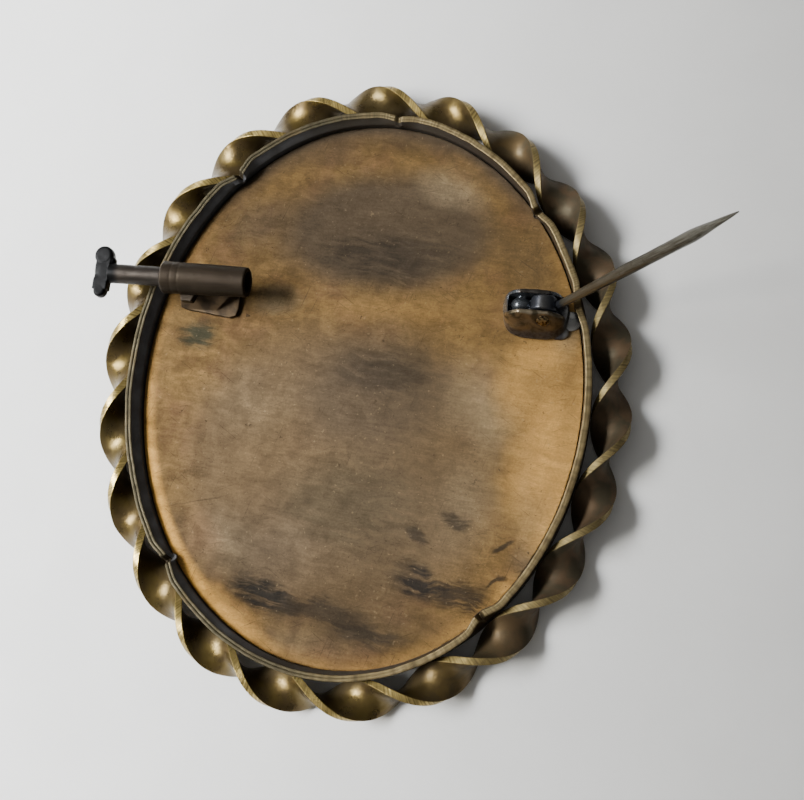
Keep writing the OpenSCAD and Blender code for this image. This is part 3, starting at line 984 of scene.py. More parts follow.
# Painted light and reflection on the plate's lower-left lip
PLATE_LIP_LIGHT = (0.78, 0.42, 0.095)
PLATE_GLINTS = (0.30, 0.22, 0.12)
CLASP_DARK = (0.020, 0.0145, 0.0092)
CLASP_PATCHES = (0.036, 0.028, 0.019)
CLASP_GILT = ((0.039, 0.0270, 0.0165), (0.087, 0.058, 0.031))
SLIDER_TUBE = ((0.0200, 0.0162, 0.0130), (0.0390, 0.0312, 0.0250))
SLIDER_HEAD = (0.0016, 0.0017, 0.0019)
HINGE_GILT = ((0.150, 0.122, 0.086), (0.245, 0.178, 0.100))
HINGE_PATCHES = (0.060, 0.048, 0.028)
HINGE_FAR = (0.026, 0.024, 0.024)
# Painted fill light in the hinge's slot
HINGE_SLOT = (0.115, 0.124, 0.136)
HINGE_TOP = (0.22, 0.18, 0.12)
SOLDER_DARK = (0.040, 0.036, 0.040)
# Painted light on the solder in the hinge's shadow
SOLDER_PAINTED_LIGHT = (0.42, 0.42, 0.41)
PIN_DARK = (0.048, 0.043, 0.032)
PIN_ROOT = (0.088, 0.080, 0.060)
PIN_EYE = (0.040, 0.043, 0.052)
RIVET_BRIGHT = (0.30, 0.22, 0.11)
GLASS_CLEAR = (0.93, 0.98, 0.97)
CARD_FIBRES = ((0.010, 0.010, 0.012), (0.022, 0.021, 0.023))
PETAL_TIP = (0.80, 0.52, 0.60)
PETAL_VEIN = (0.42, 0.10, 0.24)
POLLEN = ((0.45, 0.24, 0.03), (0.80, 0.55, 0.10))
LEAF_PALE = (0.14, 0.20, 0.07)
PAPER_CLOUD = (0.74, 0.74, 0.73)


class Finish:
    """A material being made: its nodes, and short ways to add more. Lengths are in mm."""

    def __init__(self, name):
        self.material = bpy.data.materials.new(name)
        self.material.use_nodes = True
        self.nodes = self.material.node_tree.nodes
        self.links = self.material.node_tree.links
        self.shader = self.nodes["Principled BSDF"]
        self.place = self.add("TexCoord", {}, "Object")

    def feed(self, socket, value):
        """Links an output to a socket, or sets the socket to a value."""
        if isinstance(value, bpy.types.NodeSocket):
            self.links.new(value, socket)
        elif hasattr(value, "__len__") and len(value) == 3 and socket.type == "RGBA":
            socket.default_value = (*value, 1)
        else:
            socket.default_value = value

    def add(self, kind, inputs, output=0, **values):
        """Adds a node, feeds its inputs, and gives one of its outputs."""
        node = self.nodes.new("ShaderNode" + kind)
        for name, value in values.items():
            setattr(node, name, value)
        for socket, value in inputs.items():
            self.feed(node.inputs[socket], value)
        return node.outputs[output]

    def set(self, **values):
        """Sets or links sockets of the shader, with _ for a space in a name."""
        for name, value in values.items():
            self.feed(self.shader.inputs[name.replace("_", " ")], value)

    def math(self, operation, a, b, clamp=False):
        return self.add("Math", {0: a, 1: b}, operation=operation, use_clamp=clamp)

    def times(self, a, b):
        return self.math("MULTIPLY", a, b)

    def mix(self, share, first, second):
        """The first colour where share is 0, the second where it is 1."""
        return self.add("Mix", {0: share, 6: first, 7: second}, 2, data_type="RGBA")

    def noise(self, size, detail=2.0, vector=None, rough=0.5, warp=0.0):
        """Noise from 0 to 1 with features of about this size, or in a vector's own units."""
        scale = 1 / (size * MM) if vector is None else 1 / size
        inputs = {"Vector": self.place if vector is None else vector, "Scale": scale}
        inputs.update({"Detail": detail, "Roughness": rough, "Distortion": warp})
        return self.add("TexNoise", inputs, "Fac")

    def ramp(self, value, low, high, start=0.0, end=1.0):
        """Eases from start to end while value goes from low to high."""
        inputs = {"Value": value, "From Min": low, "From Max": high, "To Min": start, "To Max": end}
        return self.add("MapRange", inputs, "Result", interpolation_type="SMOOTHSTEP")

    def patches(self, size, detail, low, high, start=0.0, end=1.0, warp=0.0, vector=None):
        """Noise, with its values from low to high eased."""
        return self.ramp(self.noise(size, detail, vector, warp=warp), low, high, start, end)

    def part(self, index, vector=None):
        """One of the three coordinates."""
        return self.add("SeparateXYZ", {0: self.place if vector is None else vector}, index)

    def across(self, index, low, high, start=0.0, end=1.0, vector=None):
        """Eases from start to end between two places on an axis."""
        return self.ramp(self.part(index, vector), low * MM, high * MM, start, end)

    def attribute(self, name):
        return self.add("Attribute", {}, "Fac", attribute_name=name)

    def along(self, value):
        """A vector whose first coordinate is this value."""
        return self.add("CombineXYZ", {0: value})

    def mapped(self, at=(0, 0, 0), size=(1, 1, 1), turn=(0, 0, 0), vector=None):
        """Coordinates in metres from a place, in shares of a size, on turned axes."""
        vector = self.place if vector is None else vector
        inputs = {"Vector": vector, "Location": at, "Rotation": turn, "Scale": size}
        return self.add("Mapping", inputs, vector_type="TEXTURE")

    def drawn(self, size, detail, at=(0, 0, 0), turn=(0, 0, 0), vector=None, rough=0.5):
        """Noise drawn out to these sizes."""
        return self.noise(1.0, detail, self.mapped(at, mm(*size), turn, vector), rough)

    def warped(self, amount, size):
        """The place, pushed about by noise, so that a stain has no even edge."""
        field = {"Vector": self.place, "Scale": 1 / (size * MM), "Detail": 3}
        field = self.add("TexNoise", field, "Color")
        field = self.add("VectorMath", {0: field, 1: (0.5, 0.5, 0.5)}, operation="SUBTRACT")
        field = self.scaled(field, amount * MM)
        return self.add("VectorMath", {0: self.place, 1: field}, operation="ADD")

    def scaled(self, vector, factor):
        """A vector or a colour times a number."""
        return self.add("VectorMath", {0: vector, "Scale": factor}, operation="SCALE")

    def span(self, vector):
        """The length of a vector."""
        return self.add("VectorMath", {0: vector}, "Value", operation="LENGTH")

    def spot(self, at, half, turn=0, soft=1.0, vector=None):
        """1 in the middle of an oval spot on the plate, 0 past its half sizes."""
        turn = (0, 0, radians(turn))
        here = self.mapped((*mm(*at), 0), (*mm(*half), 1), turn, vector)
        return self.ramp(self.span(here), 1, 1 - soft)

    def most(self, values):
        """The largest of several masks."""
        result = values[0]
        for value in values[1:]:
            result = self.math("MAXIMUM", result, value)
        return result

    def hollow(self, reach):
        """1 in hollows and close corners, 0 on open faces."""
        lit = self.add("AmbientOcclusion", {"Distance": reach * MM}, "AO", samples=6)
        return self.math("SUBTRACT", 1.0, lit, True)

    def bumps(self, height, strength, distance):
        """Bumps from a height, on the shader's normal, over any earlier ones."""
        inputs = {"Strength": strength, "Distance": distance * MM, "Height": height}
        earlier = self.shader.inputs["Normal"].links
        if earlier:
            inputs["Normal"] = earlier[0].from_socket
        self.set(Normal=self.add("Bump", inputs))


def finish_border():
    """Twisted brass: olive on its broad faces, rubbed and filed on its narrow ones."""
    tone = settings().colours
    made = Finish("border_brass")
    narrow = made.attribute("narrow")
    blotch = made.noise(1.8, 4, warp=0.6)
    hollow = made.hollow(1.6)
    close = made.ramp(hollow, 0.15, 0.75)
    worn = made.math("SUBTRACT", made.ramp(blotch, 0.38, 0.66), close, True)
    face = made.mix(made.times(worn, 0.75), tone.olive, tone.brass)
    # Hollows get a lighter brown: painted fill light, lifting the strip where it lies in shade
    face = made.mix(made.ramp(hollow, 0.20, 0.65), face, BORDER_HOLLOW_FILL)
    face = made.mix(made.patches(5, 2, 0.45, 0.75, 0, 0.5), face, BORDER_CLOUD)
    # The side towards the hinge, away from the lamp, is browner, darker and duller: painted shade
    shaded_side = made.across(0, 3, 17)
    brown = made.ramp(blotch, 0.40, 0.62)
    brown = made.mix(brown, *BORDER_SHADED_BROWNS)
    face = made.mix(made.times(shaded_side, 0.85), face, brown)
    # File marks run across the narrow faces, so they change quickly along the strip
    marks = made.noise(1 / 900, 2, made.along(made.attribute("way")))
    edge = made.mix(made.ramp(marks, 0.3, 0.7), *BORDER_EDGES)
    edge = made.mix(made.patches(0.7, 3, 0.55, 0.8, 0, 0.6), edge, tone.olive)
    edge = made.mix(made.times(shaded_side, 0.55), edge, BORDER_SHADED_EDGE)
    made.set(Base_Color=made.mix(made.ramp(narrow, 0.3, 0.8), face, edge))
    # Close corners are hardly metallic, so that their lighter base shows where they lie in shade:
    # painted fill light
    close = made.times(made.ramp(hollow, 0.15, 0.60), made.ramp(shaded_side, 0, 1, 1, 0))
    metal = made.math("SUBTRACT", made.ramp(shaded_side, 0, 1, 0.80, 0.50), made.times(close, 0.40))
    made.set(Metallic=metal, Specular_IOR_Level=0.1)
    rough = made.patches(0.9, 3, 0.3, 0.7, 0.25, 0.39)
    rough = made.math("ADD", rough, made.times(shaded_side, 0.20))
    made.set(Roughness=made.math("ADD", rough, made.times(hollow, 0.1)))
    made.bumps(made.noise(0.32, 4), 0.40, 0.05)
    made.bumps(made.times(marks, narrow), 0.6, 0.02)
    return made.material


def finish_bezel():
    """The bezel: a cut, brushed rim over a dark inner wall, lightened on the left as painted fill
    light and darkened on the right as painted shade.
    """
    tone = settings().colours
    made = Finish("bezel_brass")
    marks = made.noise(1 / 500, 3, made.along(made.attribute("way")))
    share = made.ramp(marks, 0.3, 0.7)
    worn = made.mix(share, *RIM_BRIGHT)
    rim = made.mix(share, *RIM_DARK)
    right = made.across(0, -5, 5)
    rim = made.mix(right, rim, worn)
    rim = made.mix(made.patches(2.2, 3, 0.5, 0.75, 0, 0.5), rim, tone.olive)
    rim = made.mix(made.ramp(made.hollow(1.2), 0.55, 1.0, 0, 0.5), rim, tone.umber)
    rim = made.mix(made.times(made.across(2, 3.25, 2.9), 0.7), rim, tone.umber)
    # The inner wall is lighter on the left, where it lies in shade, as painted fill light, and
    # darker on the right, where the lamp falls on it, as painted shade
    wall = made.mix(made.across(0, -10, -3), *WALL_FILL_PAIR)
    wall = made.mix(made.patches(1.3, 3, 0.3, 0.7, 0, 0.5), wall, WALL_PATCHES)
    wall = made.mix(made.across(0, 3, 10), wall, WALL_RIGHT_SHADE)
    inner = made.ramp(made.attribute("inside"), 0.55, 0.95)
    made.set(Base_Color=made.mix(inner, rim, wall))
    made.set(Metallic=made.ramp(inner, 0, 1, 0.7, 0.2), Specular_IOR_Level=0.2)
    rough = made.patches(0.6, 3, 0.3, 0.7, 0.38, 0.52)
    made.set(Roughness=made.math("ADD", rough, made.ramp(right, 1, 0, 0, 0.14)))
    made.bumps(made.noise(0.12, 3), 0.15, 0.03)
    made.bumps(marks, 0.15, 0.02)
    return made.material


# Tones on the plate: tone, place, half sizes in millimetres, turn, softness and strength
PLATE_TONES = [
    ("blush", (-1.0, -6.5), (15.8, 14.6), 0, 0.35, 0.9),
    ("blush", (1.0, 13.0), (12.6, 7.6), 0, 0.5, 0.6),
    ("smoke", (1.2, 13.1), (10.9, 5.8), 0, 0.4, 0.86),
    ("smoke", (1.2, -0.6), (8.9, 6.2), 0, 0.65, 0.76),
    ("smoke", (2.0, -10.0), (12.0, 9.5), 0, 0.9, 0.6),
    ("smoke", (-6.5, -13.5), (8.0, 5.5), 10, 1.0, 0.65),
    ("smoke", (-14.0, -12.5), (2.6, 3.4), 20, 1.0, 0.5),
    ("smoke", (12.8, 10.8), (3.0, 4.6), 25, 0.9, 0.4),
    ("smoke", (-10.0, 13.4), (4.4, 3.0), 40, 0.8, 0.6),
    ("smoke", (-4.0, 19.6), (5.0, 1.7), 12, 0.9, 0.45),
    ("smoke", (14.4, -13.4), (2.4, 2.6), 30, 0.9, 0.85),
    ("pale", (6.2, 16.9), (4.6, 2.4), -22, 1.0, 0.5),
    ("pale", (11.2, -2.4), (2.8, 4.6), 0, 1.0, 0.3),
    ("pale", (9.6, -0.2), (4.2, 5.0), 20, 1.0, 0.3),
    ("pale", (9.5, -9.0), (4.0, 5.0), 0, 1.0, 0.22),
    ("pale", (-9.8, -13.0), (3.6, 4.4), 30, 1.0, 0.28),
    ("soot", (1.4, 10.9), (8.6, 3.9), 0, 1.0, 0.55),
    ("soot", (2.2, 1.3), (7.2, 3.0), 2, 1.0, 0.5),
    ("soot", (-6.0, -16.9), (4.6, 2.1), -20, 0.9, 0.95),
    ("soot", (-1.0, -17.8), (6.0, 1.6), -6, 1.0, 0.7),
    ("soot", (6.2, -15.0), (3.8, 1.9), -15, 0.9, 0.95),
    ("soot", (9.6, -15.9), (4.6, 2.4), -10, 1.0, 0.85),
    ("soot", (2.4, -19.3), (5.0, 1.3), -8, 1.0, 0.85),
    ("soot", (8.7, -10.2), (2.1, 0.9), -20, 0.9, 0.75),
    ("soot", (5.9, -11.5), (1.9, 0.6), -32, 0.9, 0.65),
    ("soot", (12.6, -11.8), (1.7, 0.35), 38, 0.9, 0.8),
    ("soot", (12.2, -14.6), (1.5, 0.35), 36, 0.9, 0.8),
    ("soot", (2.8, 20.6), (5.6, 2.0), 4, 0.9, 0.35),
    ("pale", (-2.6, -20.4), (8.0, 2.2), 0, 1.0, 0.35),
    ("pale", (14.6, -8.0), (2.4, 7.0), 0, 1.0, 0.28),
    # Painted light in the shadow that the clasp tube casts on the plate
    ("pale", (-7.4, 6.9), (3.2, 1.7), 0, 1.0, 0.7),
    # Painted light in the hinge's shadow on the plate
    ("pale", (16.2, 5.0), (1.8, 2.8), 0, 1.0, 0.6),
    ("moss", (-13.8, 3.9), (2.8, 1.7), 8, 0.9, 0.9),
    ("moss", (0.0, -9.5), (9.0, 6.0), 0, 1.0, 0.25),
    ("rose", (0.9, -21.2), (6.5, 1.6), 0, 0.9, 0.45),
    ("smoke", (3.0, -19.0), (11.0, 3.4), 0, 1.0, 0.55),
    ("rose", (-11.5, -12.5), (2.2, 3.4), 30, 1.0, 0.35),
    ("amber", (-9.2, -18.1), (6.2, 1.5), -36, 0.9, 0.75),
    ("amber", (15.4, -4.0), (3.2, 9.5), -2, 0.9, 0.85),
    ("amber", (12.6, 0.6), (2.6, 4.8), 0, 1.0, 0.6),
    ("amber", (13.0, -7.0), (1.8, 4.0), 0, 1.0, 0.4),
    ("amber", (14.5, 3.2), (3.4, 2.2), 0, 1.0, 0.95),
    ("pale", (-8.5, -1.6), (5.6, 4.6), 0, 1.0, 0.14),
    ("amber", (7.4, 19.6), (2.6, 1.3), -30, 0.9, 0.4),
    ("amber", (-14.9, 10.0), (1.6, 3.0), -30, 0.9, 0.2),
    ("amber", (2.0, 6.4), (10.0, 1.5), 0, 1.0, 0.16),
]


def finish_plate():
    """Worn gilding, orange at the edge, tarnished and smudged in the middle."""
    tone = settings().colours
    sizes = settings().plate
    made = Finish("plate_gilt")
    calm = made.warped(1.5, 2.5)
    wild = made.warped(1.6, 1.8)
    mottle = made.noise(1.4, 5, warp=0.5, rough=0.62)
    grain = made.noise(0.17, 3, rough=0.7)
    # Wisps: noise drawn out sideways, as a cloth leaves tarnish
    slant = (0, 0, radians(-9))
    wisps = made.drawn((3.4, 0.45, 3), 5, turn=slant, vector=calm, rough=0.62)
    wisp_veil = made.ramp(wisps, 0.30, 0.60, 0.35, 1)
    base = made.mix(made.ramp(mottle, 0.3, 0.7), tone.gilt, tone.ochre)
    rosy = made.patches(3 * MM, 3, 0.48, 0.72, 0, 0.45, vector=wild)
    base = made.mix(rosy, base, tone.rose)
    edge = (sizes.half_width / MM, sizes.half_height / MM)

    def edge_band(width, middle=(0, 0)):
        """1 on a band along the plate's edge, of this share of its half sizes."""
        return made.math("SUBTRACT", 1.0, made.spot(middle, edge, 0, width))

    lip = edge_band(0.07, (0, -sizes.slip / MM))
    base = made.mix(made.times(lip, made.across(1, 8, -6, 0.25, 0.70)), base, tone.amber)
    for name, at, half, turn, soft, strength in PLATE_TONES:
        smudge = name in ("soot", "moss")
        veil = made.spot(at, half, turn, soft, wild if smudge else calm)
        if smudge:
            veil = made.ramp(made.times(veil, wisp_veil), 0.0, 0.80)
        base = made.mix(made.times(veil, strength), base, getattr(tone, name))
    # Painted light: the lip on the left, most of all low down, is painted bright gold, standing in
    # for a reflection and for light where the wall's shadow falls on it
    west = made.across(0, -2, -12)
    bright = made.times(edge_band(0.07), west)
    bright = made.times(bright, made.across(1, 4, -13, 0.08, 1.0))
    base = made.mix(bright, base, PLATE_LIP_LIGHT)
    # The upper lip is darkened towards the top
    upper = made.times(edge_band(0.10), made.across(1, 9, 18))
    base = made.mix(upper, base, tone.smoke)
    # Painted shade: the plate is darkened in hollows found by ambient occlusion, along the wall,
    # under the clasp and round the hinge, less so on the left
    hollow_shade = made.ramp(made.hollow(0.8), 0.55, 1.0, 0, 0.6)
    base = made.mix(made.times(hollow_shade, made.ramp(west, 0, 1, 1, 0.1)), base, tone.umber)
    base = made.mix(made.patches(0.42, 2, 0.69, 0.74, 0, 0.75, 1.5), base, tone.umber)
    aside = made.mapped(mm(9, 0, 0))
    glint = made.patches(0.30 * MM, 2, 0.68, 0.73, 0, 0.20, vector=aside)
    base = made.mix(glint, base, PLATE_GLINTS)
    # Fine scratches, each set drawn out along its own direction
    lines = []
    for turn, width, aside in ((12, 0.09, 0), (-35, 0.11, 3), (24, 0.10, 6), (70, 0.12, 9)):
        size = (3.4, width, 1 / MM)
        scratch = made.drawn(size, 1, mm(aside, 0, 0), (0, 0, radians(turn)))
        lines.append(made.ramp(scratch, 0.69, 0.76))
    # One long scratch on the left
    lines.append(made.spot((-12.3, -10.0), (4.3, 0.13), 13, 0.9, calm))
    scratches = made.most(lines)
    base = made.mix(made.times(scratches, 0.5), base, tone.umber)
    # Painted light and shade: lighter towards the right, darker low down and towards the top, for
    # how the light falls on the plate; the veins below add the tone's own unevenness
    shade = made.across(0, -17, 13, 0.68, 1.86)
    shade = made.times(shade, made.across(1, -21, -12, 0.47, 0.88))
    shade = made.times(shade, made.across(1, -4, 12, 1.0, 0.80))
    rubs = made.drawn((1.2, 0.13, 3), 4, mm(4, 0, 0), (0, 0, radians(-7)), rough=0.6)
    veins = ((mottle, 1.14, 0.88), (wisps, 1.12, 0.88), (grain, 1.13, 0.87), (rubs, 1.08, 0.92))
    for value, light, dark in veins:
        shade = made.times(shade, made.ramp(value, 0.28, 0.72, light, dark))
    made.set(Base_Color=made.scaled(base, shade), Metallic=0.7, Specular_IOR_Level=0.1)
    made.set(Roughness=made.ramp(mottle, 0.3, 0.75, 0.48, 0.62))
    made.bumps(made.noise(0.5, 4), 0.25, 0.05)
    made.bumps(grain, 0.25, 0.03)
    made.bumps(scratches, -0.4, 0.02)
    return made.material


def finish_clasp():
    """Dull grey-brown metal with lengthwise wear, its foot and skirt a little gilded."""
    tone = settings().colours
    made = Finish("clasp_metal")
    size = settings().clasp
    turn = (0, 0, size.line_turn)
    streaks = made.drawn((2.2, 0.12, 0.12), 3, (0, size.line_place, 0), turn)
    base = made.mix(made.ramp(streaks, 0.2, 0.8), CLASP_DARK, tone.tube)
    base = made.mix(made.patches(0.8, 3, 0.55, 0.75, 0, 0.4), base, CLASP_PATCHES)
    # The foot and skirt keep some of their gilding
    gold = made.patches(0.9, 3, 0.35, 0.65)
    gold = made.mix(gold, *CLASP_GILT)
    base = made.mix(made.times(made.across(2, 4.2, 3.4), 0.85), base, gold)
    # Painted shade: hollows, found by ambient occlusion, are darkened towards black
    base = made.mix(made.ramp(made.hollow(1.4), 0.35, 0.9), base, tone.black)
    made.set(Base_Color=base, Metallic=0.6, Specular_IOR_Level=0.2)
    made.set(Roughness=made.ramp(streaks, 0.3, 0.7, 0.46, 0.6))
    made.bumps(streaks, 0.10, 0.03)
    made.bumps(made.noise(0.13, 3), 0.15, 0.02)
    return made.material


def finish_slider():
    """The sliding tube: a near-black head on a pinkish-grey rubbed tube."""
    made = Finish("slider_metal")
    size = settings().clasp
    head_end = (size.tube_start - size.drawn_out) / MM - 0.55
    turn = (0, 0, size.line_turn)
    streaks = made.drawn((1.6, 0.1, 0.1), 3, (0, size.line_place, 0), turn)
    tube = made.ramp(streaks, 0.2, 0.8)
    tube = made.mix(tube, *SLIDER_TUBE)
    rod = made.across(0, head_end, head_end + 0.7)
    base = made.mix(rod, SLIDER_HEAD, tube)
    made.set(Base_Color=base, Metallic=0.8)
    made.set(Roughness=made.patches(0.5, 2, 0.3, 0.7, 0.40, 0.55))
    made.bumps(made.noise(0.2, 3), 0.2, 0.03)
    return made.material


def finish_hinge():
    """Worn gilding over dark metal, blue-grey in the slot with painted fill light, and grey with
    solder at the foot, lightened beside the hinge as painted light.
    """
    tone = settings().colours
    made = Finish("hinge_gilt")
    blotch = made.noise(0.8, 4, warp=0.5)
    clasp = settings().clasp
    line = made.mapped((0, clasp.line_place, 0), turn=(0, 0, clasp.line_turn))
    west = made.across(0, 14.0, 11.8, vector=line)
    gold = made.mix(west, *HINGE_GILT)
    base = made.mix(made.ramp(blotch, 0.42, 0.66), gold, HINGE_PATCHES)
    slot = made.times(made.across(1, -0.80, -0.66, vector=line), made.across(2, 4.95, 4.75))
    hollow = made.most([made.ramp(made.hollow(1.2), 0.30, 0.70), slot])
    north = made.across(1, 0, 0.6, vector=line)
    base = made.mix(made.times(north, 0.85), base, HINGE_FAR)
    # The slot and the hollows get a blue-grey, lighter than the dark metal there: painted fill light
    # where the lamp does not reach
    base = made.mix(hollow, base, HINGE_SLOT)
    # The upper edge of the near ear is lighter, in wavy patches
    top = made.times(made.across(2, 4.82, 4.97), made.across(1, 0, -0.6, vector=line))
    base = made.mix(made.times(top, made.ramp(blotch, 0.58, 0.44)), base, HINGE_TOP)
    foot = made.math("ADD", made.part(2), made.times(blotch, 0.8 * MM))
    foot = made.ramp(foot, 3.7 * MM, 3.2 * MM)
    solder = made.mix(made.patches(0.3, 3, 0.35, 0.65), SOLDER_DARK, tone.solder)
    # Painted light: the solder beside the hinge is lightened where the hinge's shadow falls on it
    solder = made.mix(made.across(0, 15.8, 16.6), solder, SOLDER_PAINTED_LIGHT)
    made.set(Base_Color=made.mix(made.times(foot, 0.9), base, solder), Metallic=0.85)
    rough = made.ramp(blotch, 0.3, 0.7, 0.28, 0.44)
    made.set(Roughness=made.math("SUBTRACT", rough, made.times(hollow, 0.10)))
    made.bumps(made.noise(0.3, 4), 0.35, 0.06)
    return made.material


def finish_pin():
    """Drawn wire, grey-brown, with a browner root and lengthwise marks."""
    tone = settings().colours
    made = Finish("pin_metal")
    at = pivot_frame().translation
    turn = (0, -settings().pin.open_angle, 0)
    streaks = made.drawn((1.8, 0.09, 0.09), 3, at, turn)
    height = at.z / MM
    wire = made.mix(made.ramp(streaks, 0.3, 0.7), PIN_DARK, tone.steel)
    root = made.across(2, height + 11, height + 3)
    wire = made.mix(made.times(root, 0.6), wire, PIN_ROOT)
    wire = made.mix(made.across(2, height + 1.35, height + 0.85), wire, PIN_EYE)
    wire = made.mix(made.times(made.patches(0.6, 3, 0.6, 0.72), 0.5), wire, tone.umber)
    made.set(Base_Color=wire, Metallic=0.75, Specular_IOR_Level=0.2)
    made.set(Roughness=made.ramp(streaks, 0.3, 0.7, 0.28, 0.42))
    made.bumps(streaks, 0.15, 0.02)
    made.bumps(made.noise(0.5, 3), 0.15, 0.04)
    return made.material


def finish_rivet():
    """Brass, filed bright, with dark umber patches."""
    made = Finish("rivet_brass")
    wear = made.noise(0.25, 3)
    base = made.mix(made.ramp(wear, 0.35, 0.65), settings().colours.umber, RIVET_BRIGHT)
    made.set(Base_Color=base, Metallic=1.0)
    made.set(Roughness=made.ramp(wear, 0.3, 0.7, 0.25, 0.42))
    made.bumps(wear, 0.35, 0.04)
    return made.material


def finish_glass():
    """Clear, slightly green glass."""
    made = Finish("glass")
    made.set(Base_Color=GLASS_CLEAR, IOR=1.5, Transmission_Weight=1.0)
    made.set(Roughness=made.patches(3, 3, 0.3, 0.8, 0.01, 0.06))
    return made.material


def finish_card():
    """Matt black card with a fine fibre."""
    made = Finish("card")
    fibre = made.noise(0.12, 3, warp=1)
    base = made.mix(made.ramp(fibre, 0.3, 0.7), *CARD_FIBRES)
    made.set(Base_Color=base, Roughness=0.92)
    made.bumps(fibre, 0.4, 0.03)
    return made.material


def finish_petals():
    """Soft pink petals, paler to the tips and veined from the middle."""
    made = Finish("petal")
    here = made.mapped((0, FLOWER_Y, 0))
    rays = made.add("TexGradient", {0: here}, "Fac", gradient_type="RADIAL")
    veins = made.noise(1 / 110, 3, made.along(rays))
    out = made.ramp(made.span(here), 1 * MM, 8 * MM)
    pink = made.mix(out, settings().colours.petal, PETAL_TIP)
    pink = made.mix(made.ramp(veins, 0.4, 0.65, 0, 0.6), pink, PETAL_VEIN)
    made.set(Base_Color=pink, Roughness=0.75, Sheen_Weight=0.3)
    made.bumps(veins, 0.3, 0.05)
    made.bumps(made.noise(0.2, 3), 0.3, 0.02)
    return made.material


def finish_stamens():
    """Matt yellow pollen."""
    made = Finish("stamen")
    grains = made.noise(0.15, 3)
    base = made.mix(made.ramp(grains, 0.35, 0.7), *POLLEN)
    made.set(Base_Color=base, Roughness=0.85)
    made.bumps(grains, 0.6, 0.05)
    return made.material


def finish_leaves():
    """Matt green leaves with paler patches."""
    made = Finish("leaf")
    patches = made.patches(1.2, 4, 0.35, 0.7)
    base = made.mix(patches, settings().colours.leaf, LEAF_PALE)
    made.set(Base_Color=base, Roughness=0.7)
    made.bumps(made.noise(0.25, 3), 0.4, 0.03)
    return made.material


def finish_paper():
    """A pale, plain surface with a faint grain."""
    made = Finish("pale_surface")
    cloud = made.patches(9, 3, 0.3, 0.7, 0, 0.5)
    base = made.mix(cloud, settings().colours.paper, PAPER_CLOUD)
    made.set(Base_Color=base, Roughness=0.85)
    made.bumps(made.noise(0.9, 4), 0.25, 0.12)
    made.bumps(made.noise(6, 2), 0.2, 0.4)
    return made.material


# Operators

BODY = "brooch"


class BROOCH_OT_border(bpy.types.Operator):
    """Model the twisted brass border"""

    bl_idname = "brooch.border"
    bl_label = "Twisted border"

    def execute(self, context):
        place_piece(model_border(), BODY, "twisted_border", finish_border())
        return {"FINISHED"}


class BROOCH_OT_bezel(bpy.types.Operator):
    """Model the bezel with its cut and folded rim"""

    bl_idname = "brooch.bezel"
    bl_label = "Bezel"

    def execute(self, context):
        place_piece(model_bezel(), BODY, "bezel", finish_bezel())
        return {"FINISHED"}


class BROOCH_OT_plate(bpy.types.Operator):
    """Model the dented back plate"""

    bl_idname = "brooch.plate"
    bl_label = "Back plate"

    def execute(self, context):
        place_piece(model_plate(), BODY, "back_plate", finish_plate())
        return {"FINISHED"}


class BROOCH_OT_clasp(bpy.types.Operator):
    """Model the fixed tube and the sliding tube of the clasp"""

    bl_idname = "brooch.clasp"
    bl_label = "Sliding clasp"

    def execute(self, context):
        place_piece(model_clasp_tube(), BODY, "clasp_tube", finish_clasp())
        place_piece(model_clasp_slider(), "slider", "clasp_slider", finish_slider())
        return {"FINISHED"}


class BROOCH_OT_hinge(bpy.types.Operator):
    """Model the pin's hinge and its rivet"""

    bl_idname = "brooch.hinge"
    bl_label = "Hinge and rivet"

    def execute(self, context):
        place_piece(model_hinge(), BODY, "hinge", finish_hinge())
        place_piece(model_rivet(), BODY, "hinge_rivet", finish_rivet())
        return {"FINISHED"}


class BROOCH_OT_pin(bpy.types.Operator):
    """Model the open pin"""

    bl_idname = "brooch.pin"
    bl_label = "Pin"

    def execute(self, context):
        place_piece(model_pin(), "pin", "pin", finish_pin())
        return {"FINISHED"}


class BROOCH_OT_front(bpy.types.Operator):
    """Model the glass, the card and the flower of the front"""

    bl_idname = "brooch.front"
    bl_label = "Glass and flower"

    def execute(self, context):
        place_piece(model_glass(), BODY, "glass", finish_glass())
        place_piece(model_card(), BODY, "backing_card", finish_card())
        place_piece(model_petals(), BODY, "flower_petals", finish_petals())
        place_piece(model_stamens(), BODY, "flower_centre", finish_stamens())
        place_piece(model_leaves(), BODY, "flower_leaves", finish_leaves())
        return {"FINISHED"}


def add_light(name, at, towards, size, power, tint):
    """A soft light that looks at a point."""
    deselect()
    bpy.ops.object.light_add(type="AREA", location=at)
    light = newest(name)
    light.data.shape = "RECTANGLE"
    light.data.size, light.data.size_y = size
    light.data.energy = power
    light.data.color = tint
    aim = Vector(towards) - Vector(at)
    light.rotation_mode = "QUATERNION"
    light.rotation_quaternion = aim.to_track_quat("-Z", "Y")
    return light


def add_camera():
    """The camera, close above the brooch and to its lower right."""
    tilt, side, roll = (radians(degrees) for degrees in (15.5, 43.3, 5.04))
    target = Vector(mm(3.70, -0.84, 2.0))
    distance = 100 * MM
    flat = sin(tilt)
    back = Vector((flat * sin(side), -flat * cos(side), cos(tilt)))
    right = Vector((0, 1, 0)).cross(back).normalized()
    looking = Matrix((right, back.cross(right), back)).transposed().to_4x4()
    deselect()
    bpy.ops.object.camera_add()
    camera = newest("camera")
    at = Matrix.Translation(target + back * distance)
    camera.matrix_world = at @ looking @ Matrix.Rotation(roll, 4, "Z")
    focal_pixels = 1262
    camera.data.sensor_width = 36
    camera.data.lens = focal_pixels / PICTURE_WIDTH * camera.data.sensor_width
    camera.data.clip_start = 5 * MM
    camera.data.clip_end = 10
    bpy.context.scene.camera = camera


